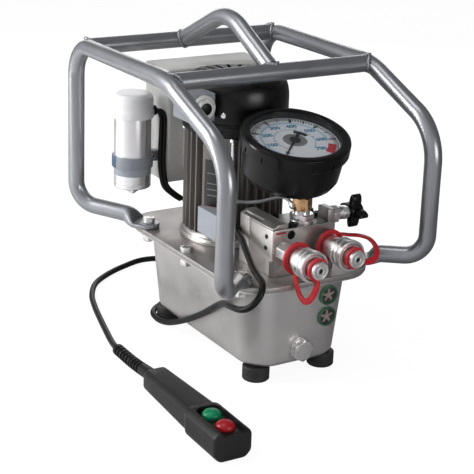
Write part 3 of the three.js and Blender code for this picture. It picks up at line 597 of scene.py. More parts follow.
GREY_LEAD = plain("grey_lead", (0.17, 0.17, 0.175), 0.35)
PLATE_FIELD = plain("plate_field", (0.03, 0.03, 0.032), 0.35, 0.3)
PLATE_INK = plain("plate_ink", (0.2, 0.2, 0.205), 0.4)
LABEL_GREY = plain("label_grey", (0.3, 0.33, 0.36), 0.4)
RELAY_PLASTIC = plain("relay_plastic", (0.33, 0.35, 0.38), 0.42)
# near-black for painted shade inside the coupling plugs' bores
PLUG_HOLE_SHADE = plain("plug_hole_shade", (0.006, 0.006, 0.006), 0.5)
RED_STRIPE = plain("red_stripe", (0.5, 0.04, 0.04), 0.45)
BLUE_BAND = plain("blue_band", (0.05, 0.09, 0.16), 0.35)


def glass_material():
    material, tree, principled = shader("clear_glass", (0.2, 0.21, 0.21), 0.03)
    principled.inputs["Alpha"].default_value = 0.06
    smear = noise_field(tree, 60)
    tree.links.new(ranged(tree, smear, 0.02, 0.06), principled.inputs["Roughness"])
    return material


GLASS = glass_material()

# ---- carrying frame
TUBE_RADIUS = 9.8
HOOP_X, HOOP_SPREAD, HOOP_Y = 131, 1.3, 174.5
TOP_Z, SHOULDER_Y, SHOULDER_Z, FOOT_Z, END_Z = 335, -51, 284, 139, 135.7
TAB_FRONT, TAB_REAR = (75, -118), (79, 86)
TAB_BEFORE, TAB_PAST, TAB_HALF, TAB_THICK, TAB_MIDDLE = 16, 13, 13.5, 6, 128.3
# the pressing starts this far before the bolt, and is done over this run
FLAT_BEFORE, FLAT_RUN, END_SLOPE = 30, 17, 0.05
TAB_STATIONS = [12.95, 12.6, 11.8, 10.5, 8, 4, 0, -5, -9, -13] + [-13 - 17 * k / 9 for k in range(1, 10)]
BEND_RADII = (26, 56, 90, 38, 28)
CROSS_Z, HANDLE_REAR_Y = 334, 152


def hoop_ends(side):
    """For the front and the rear: where the round tube stops, and the way on to the bolt."""
    ends = []
    for (x, y), corner_y in ((TAB_FRONT, -HOOP_Y), (TAB_REAR, HOOP_Y)):
        bolt = Vector((side * x, y, 0))
        corner = Vector((side * (HOOP_X + HOOP_SPREAD), corner_y, 0))
        way = (bolt - corner).normalized()
        ends.append((bolt - way * TAB_BEFORE, way, bolt))
    return ends


def tab_section(distance):
    """The tube's section at a distance before (-) or past (+) the bolt, as it is pressed flat towards it."""
    flat = eased(distance, -FLAT_BEFORE, FLAT_RUN)
    width = TUBE_RADIUS + (TAB_HALF - TUBE_RADIUS) * flat
    nose = TAB_PAST - TAB_HALF
    if distance > nose:
        width = math.sqrt(max(TAB_HALF ** 2 - (distance - nose) ** 2, 0.4))
    height = TUBE_RADIUS + (TAB_THICK / 2 - TUBE_RADIUS) * flat
    return width, height, 2 + 4 * flat, flat


def hoop(side):
    """A side hoop: the bent tube, with its two ends pressed flat into tabs for the frame bolts."""
    (front_stop, front_way, front_bolt), (rear_stop, rear_way, rear_bolt) = hoop_ends(side)
    foot_x = side * (HOOP_X + HOOP_SPREAD)
    corners = [
        (front_stop.x, front_stop.y, END_Z), (foot_x, -HOOP_Y, FOOT_Z), (side * HOOP_X, -HOOP_Y, SHOULDER_Z),
        (side * HOOP_X, SHOULDER_Y, TOP_Z), (side * HOOP_X, HOOP_Y, TOP_Z), (foot_x, HOOP_Y, FOOT_Z),
        (rear_stop.x, rear_stop.y, END_Z)]
    ends = []
    for way, bolt, order in ((front_way, front_bolt, 1), (rear_way, rear_bolt, -1)):
        run = []
        for distance in TAB_STATIONS:
            width, height, square, flat = tab_section(distance)
            rise = END_Z + END_SLOPE * max(-distance - TAB_BEFORE, 0)
            z = rise + (TAB_MIDDLE - rise) * flat
            run.append((bolt + way * distance + Z_AXIS * z, (width, height, square, 0)))
        ends.append(run[::order])
    middle = [(p, (TUBE_RADIUS, TUBE_RADIUS, 2, 0)) for p in bent(corners, BEND_RADII)[1:-1]
              if min((p.xy - front_bolt.xy).length, (p.xy - rear_bolt.xy).length) > FLAT_BEFORE + 1]
    line, sections = zip(*(ends[0] + middle + ends[1]))
    # the tube comes back upside down, because it has turned over the top
    return sweep(line, lambda i, share: sections[i], 32, Z_AXIS, -Z_AXIS)


def weld(name, centre, branch, main, radius=TUBE_RADIUS, bead=1.7):
    """A rippled bead round a tube that runs into another tube of the same size at a right angle."""
    centre, branch, main = Vector(centre), Vector(branch).normalized(), Vector(main).normalized()
    across = branch.cross(main)
    line, steps = [], 72
    for i in range(steps + 1):
        side, up = polar(radius, 2 * math.pi * i / steps)
        out = math.sqrt(max(radius ** 2 - up ** 2, 0)) + 0.5
        line.append(centre + branch * out + main * side * 1.03 + across * up * 1.03)

    def ripple(i, share):
        return bead + 0.35 * math.sin(i * 2.6), bead + 0.25 * math.sin(i * 2.6 + 1), 2, 0

    build(name, sweep(line, ripple, 8), WELD)


for label, side in (("left", -1), ("right", 1)):
    build(f"frame_hoop_{label}", hoop(side), PAINT, stands_for=[f"hoop_{label}"])
for label, y in (("front", SHOULDER_Y), ("rear", HANDLE_REAR_Y)):
    reach = HOOP_X - 6
    build(f"frame_cross_{label}", tube([(-reach, y, CROSS_Z), (reach, y, CROSS_Z)], TUBE_RADIUS, 32), PAINT,
          stands_for=[f"cross_tube_{label}"])
    for name, side in (("left", -1), ("right", 1)):
        weld(f"weld_{label}_{name}", (side * HOOP_X, y, CROSS_Z), (-side, 0, 0), (0, 1, 0))
HANDLE_CORNERS = [(0, SHOULDER_Y + 7, CROSS_Z + 3.5), (0, 48, 385), (0, HANDLE_REAR_Y - 7, CROSS_Z + 3.5)]
build("frame_handle", tube(bent(HANDLE_CORNERS, [60], 16), TUBE_RADIUS, 32), PAINT,
      stands_for=["carry_handle"])
weld("weld_handle_front", (0, SHOULDER_Y, CROSS_Z), (0, 0.9, 0.45), (1, 0, 0))
weld("weld_handle_rear", (0, HANDLE_REAR_Y, CROSS_Z), (0, -0.9, 0.45), (1, 0, 0))

# ---- bolts
TAB_SEAT, LID_TOP = 131.6, 125
BOLTS = [
    ("frame_bolt_front_left", -75, -118, TAB_SEAT), ("frame_bolt_front_right", 75, -118, TAB_SEAT),
    ("frame_bolt_rear_left", -79, 86, TAB_SEAT), ("frame_bolt_rear_right", 79, 86, TAB_SEAT),
    ("lid_bolt_left", -80, -8, LID_TOP + 0.3), ("lid_bolt_right", 80, -8, LID_TOP + 0.3)]
for name, x, y, seat in BOLTS:
    spin = rng.uniform(0, 1)
    bolt = merged(
        lathe([(0, 107), (3.4, 107), (4, 107.8), (4, seat + 1), (0, seat + 1)], 24),
        moved(hexagon(13, seat, seat + 5.5, chamfer=0.1), spin=spin),
        disc(7.4, seat, seat + 0.7, 32),
        moved(hexagon(13, 108.5, 115.2, chamfer=0.12), spin=spin + 0.4),
        lathe([(4, 115.2), (8, 115.2), (8, 116.7), (4, 116.7)], 32))
    build(name + "_detail", moved(bolt, (x, y, 0)), ZINC, stands_for=[name], bevel=0.2)

# ---- tank, lid and feet
LID_HALF_X, LID_HALF_Y, CENTRE_Y, LID_RADIUS = 89, 144.5, -6.5, 43
TANK_TOP, TANK_BOTTOM, TANK_FLOOR, TANK_RIM, TANK_RADIUS = (72, 125), (60, 119.5), 17, 119, 38
TANK_EDGE, EDGE_STEPS, CORNER_STEPS = 7, 6, 14
LEAN = math.atan2(TANK_TOP[1] - TANK_BOTTOM[1], TANK_RIM - TANK_FLOOR)
FACE_OUT = Vector((0, -math.cos(LEAN), -math.sin(LEAN)))


def face_y(z):
    return CENTRE_Y - TANK_BOTTOM[1] - (z - TANK_FLOOR) * math.tan(LEAN)


def tank():
    """The pressed shell: a rounded bottom edge, leaning walls, a bead under the rim and a flange."""
    levels = []
    for k in range(EDGE_STEPS + 1):
        a = math.pi / 2 * k / EDGE_STEPS
        levels.append((TANK_FLOOR + TANK_EDGE * (1 - math.cos(a)), TANK_EDGE * (1 - math.sin(a))))
    levels += [(z, 0) for z in (30, 45, 60, 75, 90, 104)]
    levels += [(112, 0), (115, -1), (116.6, -4), (117, -8)]
    points = []
    for z, inset in levels:
        up = (z - TANK_FLOOR) / (TANK_RIM - TANK_FLOOR)
        half_x = TANK_BOTTOM[0] + (TANK_TOP[0] - TANK_BOTTOM[0]) * up - inset
        half_y = TANK_BOTTOM[1] + (TANK_TOP[1] - TANK_BOTTOM[1]) * up - inset
        radius = max(TANK_RADIUS * (half_x / TANK_TOP[0]), 6)
        outline = rounded_rect(half_x, half_y, radius, CORNER_STEPS, (0, CENTRE_Y))
        points += [Vector((x, y, z)) for x, y in outline]
    for z, inset in ((117, 2), (117.3, 1.2), (118.7, 1.2), (TANK_RIM, 2)):
        radius = LID_RADIUS - inset + 1
        outline = rounded_rect(LID_HALF_X - inset, LID_HALF_Y - inset, radius, CORNER_STEPS, (0, CENTRE_Y))
        points += [Vector((x, y, z)) for x, y in outline]
    return skin(points, 4 * (CORNER_STEPS + 1))


build("tank_shell", tank(), STAINLESS, stands_for=["tank"])
lid_outline = rounded_rect(LID_HALF_X, LID_HALF_Y, LID_RADIUS, 16, (0, CENTRE_Y))
gasket = rounded_rect(LID_HALF_X - 1.6, LID_HALF_Y - 1.6, LID_RADIUS - 1.6, 16, (0, CENTRE_Y))
build("lid_gasket", prism(gasket, 119.01, 119.29), SEAM_AND_SHADE)
build("lid", prism(lid_outline, 119.3, LID_TOP, 0.8), LID_STEEL, stands_for=["lid_plate"])
FEET = [("front_left", -44, -107), ("front_right", 44, -107), ("rear_left", -44, 94), ("rear_right", 44, 94)]
for label, x, y in FEET:
    profile = [(0, 1.2), (4.5, 1.2), (5, 0), (14.2, 0), (15.5, 1.4), (15.5, 5.2), (15.1, 5.6), (15.1, 6.4),
               (15.5, 6.8), (15.5, 15.4), (14.4, 16.7), (0, 16.7)]
    build(f"foot_{label}_pad", moved(lathe(profile, 48, 0.5), (x, y, 0)), FOOT_RUBBER,
          stands_for=[f"foot_{label}"])

drain = merged(
    moved(hexagon(24, 2.8, 10.4, chamfer=0.1), spin=math.pi / 6),
    lathe([(0, 0.3), (12.8, 0.3), (13, 0.6), (13, 2.6), (12.6, 2.9), (0, 2.9)], 40),
    lathe([(0, 10.3), (9.6, 10.3), (10.2, 10.48), (0, 10.5)], 40))
build("drain_bolt", moved(drain, (0, face_y(36), 36), FACE_OUT), ZINC, stands_for=["drain_plug"], bevel=0.25)
for label, x, z in (("upper", 33, 95), ("lower", 33, 69)):
    place = (x, face_y(z), z)
    bezel = lathe([(8.6, -6), (9, 0.2), (9.3, 1.9), (9.9, 3.4), (10.8, 3.4), (11.6, 2.4), (11.6, 0.3),
                   (10, 0.3), (10, -6), (8.6, -6)], 48)
    build(f"sight_ring_{label}", moved(bezel, place, FACE_OUT), SIGHT_GREEN,
          stands_for=[f"sight_glass_{label}"])
    well = disc(9.1, 0.02, 0.5, 40)
    build(f"sight_well_{label}", moved(well, place, FACE_OUT), SIGHT_DARK)
    star = [polar(7.6 if i % 4 in (0, 1) else 3.2, i * math.pi / 10 + 0.2) for i in range(20)]
    build(f"sight_star_{label}", moved(prism(star, 0.4, 1.2), place, FACE_OUT), SIGHT_PINK)
    window = lathe([(0, 1.5), (9, 1.5), (9, 1.8), (5, 2.4), (0, 2.7)], 40)
    build(f"sight_window_{label}", moved(window, place, FACE_OUT), GLASS)

# ---- motor
MOTOR_X, MOTOR_Y = 2, 28
HOUSING_LOW, HOUSING_TOP, CORE, FIN = 137.3, 254, 50, 59
MOTOR_PLACE = (MOTOR_X, MOTOR_Y, 0)
TIE_ROD_REACH = 57.2


def fin_outline():
    """The ribbed section, with rounded rib tips and no ribs at the rating plate's pad."""
    outline, fins, half = [], 34, 1.7
    pad_from, pad_to = math.radians(196), math.radians(240)
    for i in range(fins):
        angle = 2 * math.pi * i / fins
        turn = Matrix.Rotation(angle, 2)
        if pad_from < angle < pad_to:
            outline += [turn @ Vector((CORE + 4, -4)), turn @ Vector((CORE + 4, 4))]
            continue
        root = [(CORE, -4.2), (CORE + 0.4, -2.6), (CORE + 2, -half)]
        tip = [(FIN - 1.2, -half * 0.72), (FIN - 0.3, -half * 0.5), (FIN - 0.1, 0)]
        side = root + tip
        for x, y in side + [(x, -y) for x, y in reversed(side[:-1])]:
            outline.append(turn @ Vector((x, y)))
    return [tuple(p) for p in outline]


build("motor_ribs", moved(prism(fin_outline(), HOUSING_LOW, HOUSING_TOP), MOTOR_PLACE), MOTOR_PAINT,
      stands_for=["motor_housing"])
flange_profile = [(12, 125.3), (62, 125.3), (62, 129), (60, 131), (60, 134), (57, 137), (12, 137),
                  (12, 125.3)]
build("motor_foot_flange", moved(lathe(flange_profile, 96, 0.9), MOTOR_PLACE), RIM_STEEL,
      stands_for=["motor_flange"])
shield_profile = [(12, 254.3), (59, 254.3), (61.2, 256), (61.8, 258.5), (61.2, 261), (60, 262), (60, 266),
                  (61, 268), (61, 270), (12, 270), (12, 254.3)]
build("motor_shield", moved(lathe(shield_profile, 96, 0.8), MOTOR_PLACE), GLOSS_BLACK,
      stands_for=["motor_end_shield"])
for i in range(4):
    x, y = polar(TIE_ROD_REACH, math.pi / 4 + i * math.pi / 2 + 0.2)
    rod = merged(moved(hexagon(7, 250.2, 254.2), spin=i), disc(1.9, 146, 251, 12))
    build(f"motor_tie_rod_{i}", moved(rod, (MOTOR_X + x, MOTOR_Y + y, 0)), ZINC)

COWL_RADIUS, COWL_EDGE, COWL_SHOULDER, COWL_TOP, COWL_WALL = 61, 10.5, 292, 316.5, 2.2


def cowl_shoulder(inset, steps=12):
    """The cowl's round shoulder, from its side up to its flat top, drawn in by inset for the inner face."""
    curve = []
    for k in range(steps + 1):
        angle = math.pi / 2 * k / steps
        curve.append((COWL_RADIUS - COWL_EDGE + (COWL_EDGE - inset) * math.cos(angle),
                      COWL_SHOULDER + (COWL_TOP - COWL_SHOULDER - inset) * math.sin(angle)))
    return curve


cowl_profile = [(0, COWL_TOP - COWL_WALL)] + cowl_shoulder(COWL_WALL)[::-1] + \
    [(COWL_RADIUS - COWL_WALL, 270.5), (COWL_RADIUS, 270.5)] + cowl_shoulder(0) + [(0, COWL_TOP)]
cowl = bare("motor_cowl", moved(lathe(cowl_profile, 96), MOTOR_PLACE))
slots = []
for band, (inner, outer, count) in enumerate(((31, 49, 20), (13, 27, 12))):
    for i in range(count):
        outline = rounded_rect((outer - inner) / 2, 2.0, 1.9, 4, ((outer + inner) / 2, 0))
        slot = prism(outline, COWL_TOP - 5, COWL_TOP + 3)
        slots.append(moved(slot, MOTOR_PLACE, spin=2 * math.pi * (i + 0.5 * band) / count))
carve(cowl, merged(*slots))
finished(cowl, GLOSS_BLACK, stands_for=["fan_cowl"], bevel=0.25)
for i in range(3):
    angle = -2.35 + i * 2 * math.pi / 3
    out = Vector((*polar(1, angle), 0))
    screw = lathe([(0, -0.2), (3.4, -0.2), (3.4, 0.6), (2.6, 1.5), (0, 1.7)], 24)
    build(f"cowl_screw_{i}", moved(screw, Vector((MOTOR_X, MOTOR_Y, 281)) + out * 60.9, out), ZINC)
for node in ("rotor_shaft", "pump_body", "valve_spindle"):
    dress(node, ZINC, 0.3)
dress("cooling_fan", SATIN_BLACK, 0.3)


def wrapped(angle_from, angle_to, low, high, radius, thick, steps=12):
    """A plate wrapped round the motor's axis, between two angles in degrees."""
    outline = sector(angle_from, angle_to, radius, radius + thick, steps)
    return moved(prism(outline[::-1], low, high), MOTOR_PLACE)


build("rating_plate", wrapped(201, 236, 158, 226, 54, 0.8), DARK_PLATE, bevel=0.2)
build("rating_plate_field", wrapped(203, 234, 178, 222, 54.8, 0.25), PLATE_FIELD)
build("rating_plate_stripe", merged(*[wrapped(205, 226, low, low + 1.2, 54.8, 0.25) for low in (166, 170)]),
      RED_STRIPE)
build("rating_plate_lines", merged(*[
    wrapped(205, 232 - 5 * (k % 3), low, low + 0.9, 55.05, 0.15)
    for k, low in enumerate((184, 191, 198, 210))]), PLATE_INK)

# ---- boxes
BOX_FRONT, BOX_REAR, BOX_LOW, BOX_TOP, BOX_LID = 97, 155, 173, 296, 311


def upright(half_x, half_y, radius, x, y, low, high, edge=1.2):
    return prism(rounded_rect(half_x, half_y, radius, 6, (x, y)), low, high, edge)


box_body = merged(
    upright(70, 29, 5, 20, 126, BOX_LOW, BOX_TOP, 2.5),
    prism(rounded_rect(26, 5.2, 2, 4, (-2, 92.5)), 190, 244, 1))
build("electric_box", box_body, BOX_PLASTIC, stands_for=["control_box"])
build("electric_box_lid", upright(71.5, 30.5, 6, 20, 126, BOX_TOP + 0.5, BOX_LID, 3), BOX_PLASTIC,
      stands_for=["control_box_lid"])
build("box_joint", upright(69, 28, 4, 20, 126, BOX_TOP - 0.6, BOX_TOP + 1, 0), GREY_SEAM)
LABELS = [("front", 24, 17, (45, BOX_FRONT, 262), FORWARD), ("rear", 34, 22, (20, BOX_REAR, 240), Y_AXIS)]
for label, half_x, half_y, place, facing in LABELS:
    card = prism(rounded_rect(half_x, half_y, 2, 4), 0, 0.4, 0.15)
    build(f"box_{label}_label", moved(card, place, facing), LABEL_PAPER)
for i, (x, y) in enumerate(((-43, 103), (83, 103), (-43, 149), (83, 149))):
    screw = lathe([(0, 310.6), (4, 310.6), (4, 310.8), (3.2, 310.95), (1.2, 310.95), (0, 310.7)], 24)
    build(f"box_lid_screw_{i}", moved(screw, (x, y, 0)), ZINC)

dress("relay_box", RELAY_PLASTIC, 1.2)
dress("terminal_box", BLUE_GREY, 1.5)
build("relay_lid_line", moved(prism(rounded_rect(11.9, 0.35, 0.3, 2), 0, 30.2), (-46.8, -38.0, 142.9)),
      GREY_SEAM)
build("relay_screw", moved(lathe([(0, -0.3), (2.6, -0.3), (2.6, 0.5), (1.8, 1), (0, 1)], 20),
                           (-55.5, -38, 150), FORWARD), ZINC)
build("terminal_lid_line", moved(prism(rounded_rect(0.4, 18.4, 0.3, 2), 0, 0.3), (-72.5, 3.2, 307.9)),
      GREY_SEAM)
GLAND_PLACE = (-68.5, -16, 293)
gland = merged(
    lathe([(0, 0.3), (14.4, 0.3), (14.4, 3.6), (13, 5.4), (11.6, 5.4), (11.6, 4.4), (0, 4.4)], 48, 0.4),
    moved(hexagon(20, 4.2, 7.4), spin=0.2),
    lathe([(0, 7), (9.6, 7), (9.6, 8.2), (8.8, 9), (7.4, 9), (7, 8.4), (7, 7.4), (0, 7.4)], 40, 0.3))
build("gland_nut", moved(gland, GLAND_PLACE, FORWARD), BOX_PLASTIC, stands_for=["cable_gland"])
build("gland_bung", moved(lathe([(0, 7.2), (6.9, 7.2), (6.9, 8.2), (6, 8.7), (0, 8.7)], 32),
                          (-68.5, -16.1, 293), FORWARD), CABLE_RUBBER)

# ---- capacitor
CAP_X, CAP_Y = -88, 112
CAP_PLACE = (CAP_X, CAP_Y, 0)
can = lathe([(0, 162), (3.6, 162), (4, 162.6), (4, 171), (21, 171), (22, 172), (22, 174.5), (21.4, 175.2),
             (21.4, 176.4), (22, 177), (22, 255.7), (0, 255.7)], 64, 0.4)
build("capacitor_body", moved(can, CAP_PLACE), CAN_ALUMINIUM, stands_for=["capacitor_can"])
build("capacitor_nut", moved(hexagon(13, 164.5, 170.8), CAP_PLACE, spin=0.3), ZINC, bevel=0.2)
cap_profile = [(0, 256), (24.6, 256), (25, 256.6), (25, 264), (24.5, 265), (24.2, 266), (24.2, 277),
               (23.4, 281.2), (20.8, 284.2), (17.5, 285), (0, 285)]
build("capacitor_cover", moved(lathe(cap_profile, 72, 0.8), CAP_PLACE), CAP_PLASTIC,
      stands_for=["capacitor_cap"])
label_ring = hollow(21.9, 22.2, 187, 195.7)
build("capacitor_label", moved(label_ring, CAP_PLACE), LABEL_GREY)
patch = prism(sector(150, 190, 24.25, 24.55, 10), 196.5, 209.5)
build("capacitor_patch", moved(patch, CAP_PLACE), BLUE_BAND)
strap_ring = hollow(22.3, 24.3, 196, 210, 64, 0.3)
strap_block = prism(rounded_rect(7.3, 6, 1.2, 4, (30.2, 8)), 197, 209, 0.8)
build("capacitor_bracket", moved(merged(strap_ring, strap_block), CAP_PLACE), BLUE_GREY,
      stands_for=["capacitor_clamp"])
clamp_screw = moved(lathe([(0, 0), (3.4, 0), (3.4, 1.4), (2.4, 2), (0, 2)], 24),
                    (CAP_X + 29, CAP_Y + 2, 203), FORWARD)
build("capacitor_bracket_screw", clamp_screw, ZINC)
LEAD = [(26.3, -6, 262), (31, -9, 261), (34, -11, 255), (34, -12, 240), (33, -13, 222), (32, -14, 204),
        (32, -16, 188), (34.5, -20, 171), (45, -24, 160), (54, -27, 153.5)]
LEAD_RADIUS = 2.6
lead_line = spline([Vector(p) + Vector(CAP_PLACE) for p in LEAD])
lead_pair = [tube([p + Vector(offset) for p in lead_line], LEAD_RADIUS, 14)
             for offset in ((-2.1, 0.6, 0), (2.1, -0.6, 0))]
grommet = moved(lathe([(0, -2), (5.6, -2), (6, -1), (6, 1.6), (5, 3.2), (0, 3.2)], 28),
                (CAP_X + 24.8, CAP_Y - 5.4, 262), (0.97, -0.23, 0))
build("capacitor_leads", merged(*lead_pair), CABLE_RUBBER, stands_for=["capacitor_lead"])
build("capacitor_grommet", grommet, CABLE_RUBBER)

# ---- manifold
BLOCK_X, BLOCK_FRONT, BLOCK_REAR, BLOCK_LOW, BLOCK_TOP = 41, -125, -78, 125.3, 179
FRONT_PORT = (-BLOCK_X + 24, BLOCK_FRONT, 171.5)
SIDE_PORTS = [(BLOCK_X, -96, 158), (BLOCK_X, -96, 140)]
VALVE_Y, VALVE_Z = -113, 183


def bead_block(x0, x1, y0, y1, z0, z1, edge, radius=1.1):
    half_x, half_y = (x1 - x0) / 2, (y1 - y0) / 2
    return prism(rounded_rect(half_x, half_y, radius, 3, ((x0 + x1) / 2, (y0 + y1) / 2)), z0, z1, edge)


def block_solid():
    """The block, with the lower part of its front left edge milled off at 45 degrees."""
    body = bare("manifold", bead_block(-BLOCK_X, BLOCK_X, BLOCK_FRONT, BLOCK_REAR, BLOCK_LOW, BLOCK_TOP, 0.5))
    mill = moved(prism([(-4, -4), (4, -4), (4, 4), (-4, 4)], BLOCK_LOW - 1, 144), (-BLOCK_X, BLOCK_FRONT, 0),
                 spin=math.pi / 4)
    ports = [moved(disc(5, -3, 1), FRONT_PORT, FORWARD)]
    ports += [moved(disc(4, -3, 1), port, X_AXIS) for port in SIDE_PORTS]
    return carve(body, mill, *ports)


finished(block_solid(), MACHINED, stands_for=["manifold_block"], bevel=0.3)
lug = bead_block(32, BLOCK_X, VALVE_Y - 10.5, VALVE_Y + 10.5, BLOCK_TOP - 1, VALVE_Z + 10, 0.8)
build("manifold_lug", lug, MACHINED)
socket_plug = lathe([(0, -3), (4.8, -3), (4.8, -0.9), (2.6, -0.9), (2.6, -2.2), (0, -2.2)], 24)
build("manifold_plug_front", moved(socket_plug, FRONT_PORT, FORWARD), SATIN_BLACK)
for i, port in enumerate(SIDE_PORTS):
    small = lathe([(0, -3), (3.8, -3), (3.8, -0.8), (2.2, -0.8), (2.2, -2), (0, -2)], 24)
    build(f"manifold_plug_right_{i}", moved(small, port, X_AXIS), ZINC)
build("manifold_red_mark", bead_block(-37, -25, BLOCK_FRONT - 0.25, BLOCK_FRONT, 174.6, 176.4, 0), RED_STRIPE)
for i, (x, y) in enumerate(((-12, -119), (-12, -84), (34, -84), (34, -98))):
    screw = lathe([(0, 179), (4.6, 179), (4.6, 182.4), (4, 183), (2.6, 183), (2.4, 181.4), (0, 181.4)], 28)
    build(f"manifold_screw_{i}", moved(screw, (x, y, 0)), SATIN_BLACK)


def cover_piece(name, outline, y_from, y_to):
    solid = prism(outline, -y_to, -y_from, 0.7)
    turn = Matrix.Rotation(math.pi / 2, 3, "X")
    return bare(name, ([turn @ p for p in solid[0]], solid[1]))


cap_outline = [(-BLOCK_X, 179.3), (-22, 179.3), (-22, 185), (-33, 185), (-BLOCK_X, 181)]
rear_outline = [(-BLOCK_X, BLOCK_LOW), (-22, BLOCK_LOW), (-22, 185), (-33, 185), (-BLOCK_X, 181)]
cover_rear = carve(cover_piece("cover_rear", rear_outline, -77.7, -58),
                   bead_block(-39.5, -35.6, -90, -63, 178, 190, 0))
finished(cover_rear, COVER, stands_for=["valve_cover"], bevel=0.3)
cover_front = carve(cover_piece("cover_front", cap_outline, -124.5, -76),
                    bead_block(-39.5, -35.6, -98, -63, 178, 190, 0))
finished(cover_front, COVER, bevel=0.3)
# a near-black strip down in the cover's slot: painted shade for the groove's depth
build("cover_slot_painted_shade", bead_block(-39.4, -35.7, -97.9, -63.1, 179.05, 179.6, 0, 0.4), SEAM_AND_SHADE)
for i, (y, z) in enumerate(((-112.8, 169.7), (-111.8, 156.7), (-72.5, 146.3))):
    screw = lathe([(0, -0.3), (2.7, -0.3), (2.7, 0.5), (2.2, 0.8), (1.4, 0.8), (1.3, 0.1), (0, 0.1)], 20)
    build(f"cover_screw_{i}", moved(screw, (-BLOCK_X, y, z), -X_AXIS), SATIN_BLACK)

# ---- needle valve
VALVE_PLACE = (0, VALVE_Y, VALVE_Z)
waist = [(0, 48), (7.4, 48), (7.4, 51), (6.6, 52), (6.6, 54), (7.4, 55), (7.4, 58), (0, 58)]
valve = merged(
    moved(hexagon(19, 41.3, 49), spin=0.2), lathe(waist, 32), moved(hexagon(14, 57, 64), spin=0.5),
    lathe([(0, 63.5), (5.2, 63.5), (5.6, 64), (0, 64)], 32))
build("valve_stem_body", moved(valve, VALVE_PLACE, X_AXIS), NICKEL, stands_for=["valve_body"], bevel=0.2)


def knob_outline(steps=96):
    """Four round lobes on a hub, blended by a smooth radius rule."""
    outline = []
    for i in range(steps):
        angle = 2 * math.pi * i / steps
        lobe = 0.5 + 0.5 * math.cos(4 * (angle - 0.094))
        radius = 7.6 + 12.2 * lobe ** 1.6
        outline.append(polar(radius, angle))
    return outline


knob = merged(
    prism(knob_outline(), 69, 81, 1.6),
    lathe([(0, 77.5), (4.6, 77.5), (4.6, 67), (7.6, 67), (8, 67.6), (8, 82), (6.8, 83), (0, 83)], 40))
build("valve_handwheel", moved(knob, VALVE_PLACE, X_AXIS), SATIN_BLACK, "knob", ["valve_knob"])
build("valve_handwheel_cap", moved(disc(4.2, 82.6, 83), VALVE_PLACE, X_AXIS), ZINC,
      "knob")

# ---- couplings
COUPLER_X, COUPLER_Z = 28, 156
COUPLINGS = {
    "left": {"side": -1, "ring": 27, "sleeve": 36, "end": 62, "face": 74},
    "right": {"side": 1, "ring": 8, "sleeve": 25, "end": 51, "face": 63}}
STRAP_LINES = {
    "left": [(-1, -153.4, -15), (-1, -153.6, -20), (-0.5, -156, -30), (0, -162, -39.5), (0.5, -170, -43.5),
             (1, -178, -40), (1.5, -186, -29), (1, -191, -18), (0.5, -191.4, -10)],
    "right": [(11, -134.6, 10), (15, -134.8, 10.5), (23, -138, 9.5), (32, -145, 9.5), (39, -153, 7.5),
              (41, -162, 2.5), (37, -171, -3), (29, -177.5, -6.5), (20, -180, -7.5), (9.5, -180.3, -5)]}
for label, c in COUPLINGS.items():
    axis = Vector((c["side"] * COUPLER_X, 0, COUPLER_Z))
    base = axis + Vector((0, BLOCK_FRONT, 0))
    ring, sleeve, end, face = c["ring"], c["sleeve"], c["end"], c["face"]
    neck = [(0, 0.3), (8.5, 0.3), (8.5, ring - 2), (12.4, ring - 1), (12.4, sleeve - 1.4),
            (12.9, sleeve - 1), (14, sleeve), (14, end - 2), (13, end - 1), (8.4, end - 1), (8, end - 2),
            (8, face - 29), (0, face - 29)]
    adaptor = merged(lathe(neck, 64, 0.35), moved(hexagon(19, 0.3, ring - 2.5), spin=math.pi / 6))
    build(f"coupling_body_{label}", moved(adaptor, base, FORWARD), NICKEL,
          stands_for=[f"coupler_body_{label}"], bevel=0.2)
    collar = [(14.4, sleeve + 5.5), (15.6, sleeve + 5.5), (16.4, sleeve + 6.4), (16.4, sleeve + 8.4),
              (15.7, sleeve + 9), (15.7, sleeve + 12.6), (16.4, sleeve + 13.2), (16.4, sleeve + 15.2),
              (14.9, sleeve + 16), (14.9, sleeve + 17.6), (17.4, sleeve + 18.6), (17.4, end - 1.4),
              (16.6, end), (14.6, end), (14.4, end - 0.4), (14.4, sleeve + 5.5)]
    build(f"coupling_sleeve_{label}", moved(lathe(collar, 72, 0.35), base, FORWARD), NICKEL,
          f"{label}_sleeve", [f"coupler_sleeve_{label}"])
    plug = [(0, face - 27), (6.4, face - 27), (7, face - 26.2), (7, face - 5), (9.6, face - 5),
            (10, face - 4.4), (10, face - 1.2), (9, face), (7.4, face), (7, face - 0.5), (5, face - 0.5),
            (4.6, face), (3.4, face), (2.6, face - 0.8), (2.6, face - 6), (0, face - 6)]
    build(f"coupling_plug_{label}", moved(lathe(plug, 56, 0.3), base, FORWARD), NICKEL, f"{label}_plug",
          [f"dust_plug_{label}"])
    # a near-black disc down in the plug's bore: painted shade for the hole's depth
    hole = disc(2.6, face - 6.2, face - 1.6)
    build(f"plug_hole_shade_{label}", moved(hole, base, FORWARD), PLUG_HOLE_SHADE, f"{label}_plug")
    eye_back = hollow(12.9, 18, 0, 3.2, 56, 0.8)
    eye_front = hollow(7.3, 12.5, 0, 3.2, 48, 0.8)
    band_line = spline([Vector(p) + axis for p in STRAP_LINES[label]], 5)
    band = sweep(band_line, lambda i, share: (3.6, 1.5, 4, 0), 20, X_AXIS if label == "left" else Z_AXIS)
    strap = merged(
        band, moved(eye_back, axis + Vector((0, BLOCK_FRONT - ring, 0)), FORWARD),
        moved(eye_front, axis + Vector((0, BLOCK_FRONT - face + 8.6, 0)), FORWARD))
    build(f"strap_{label}", strap, STRAP_RED, stands_for=[f"dust_strap_{label}"])

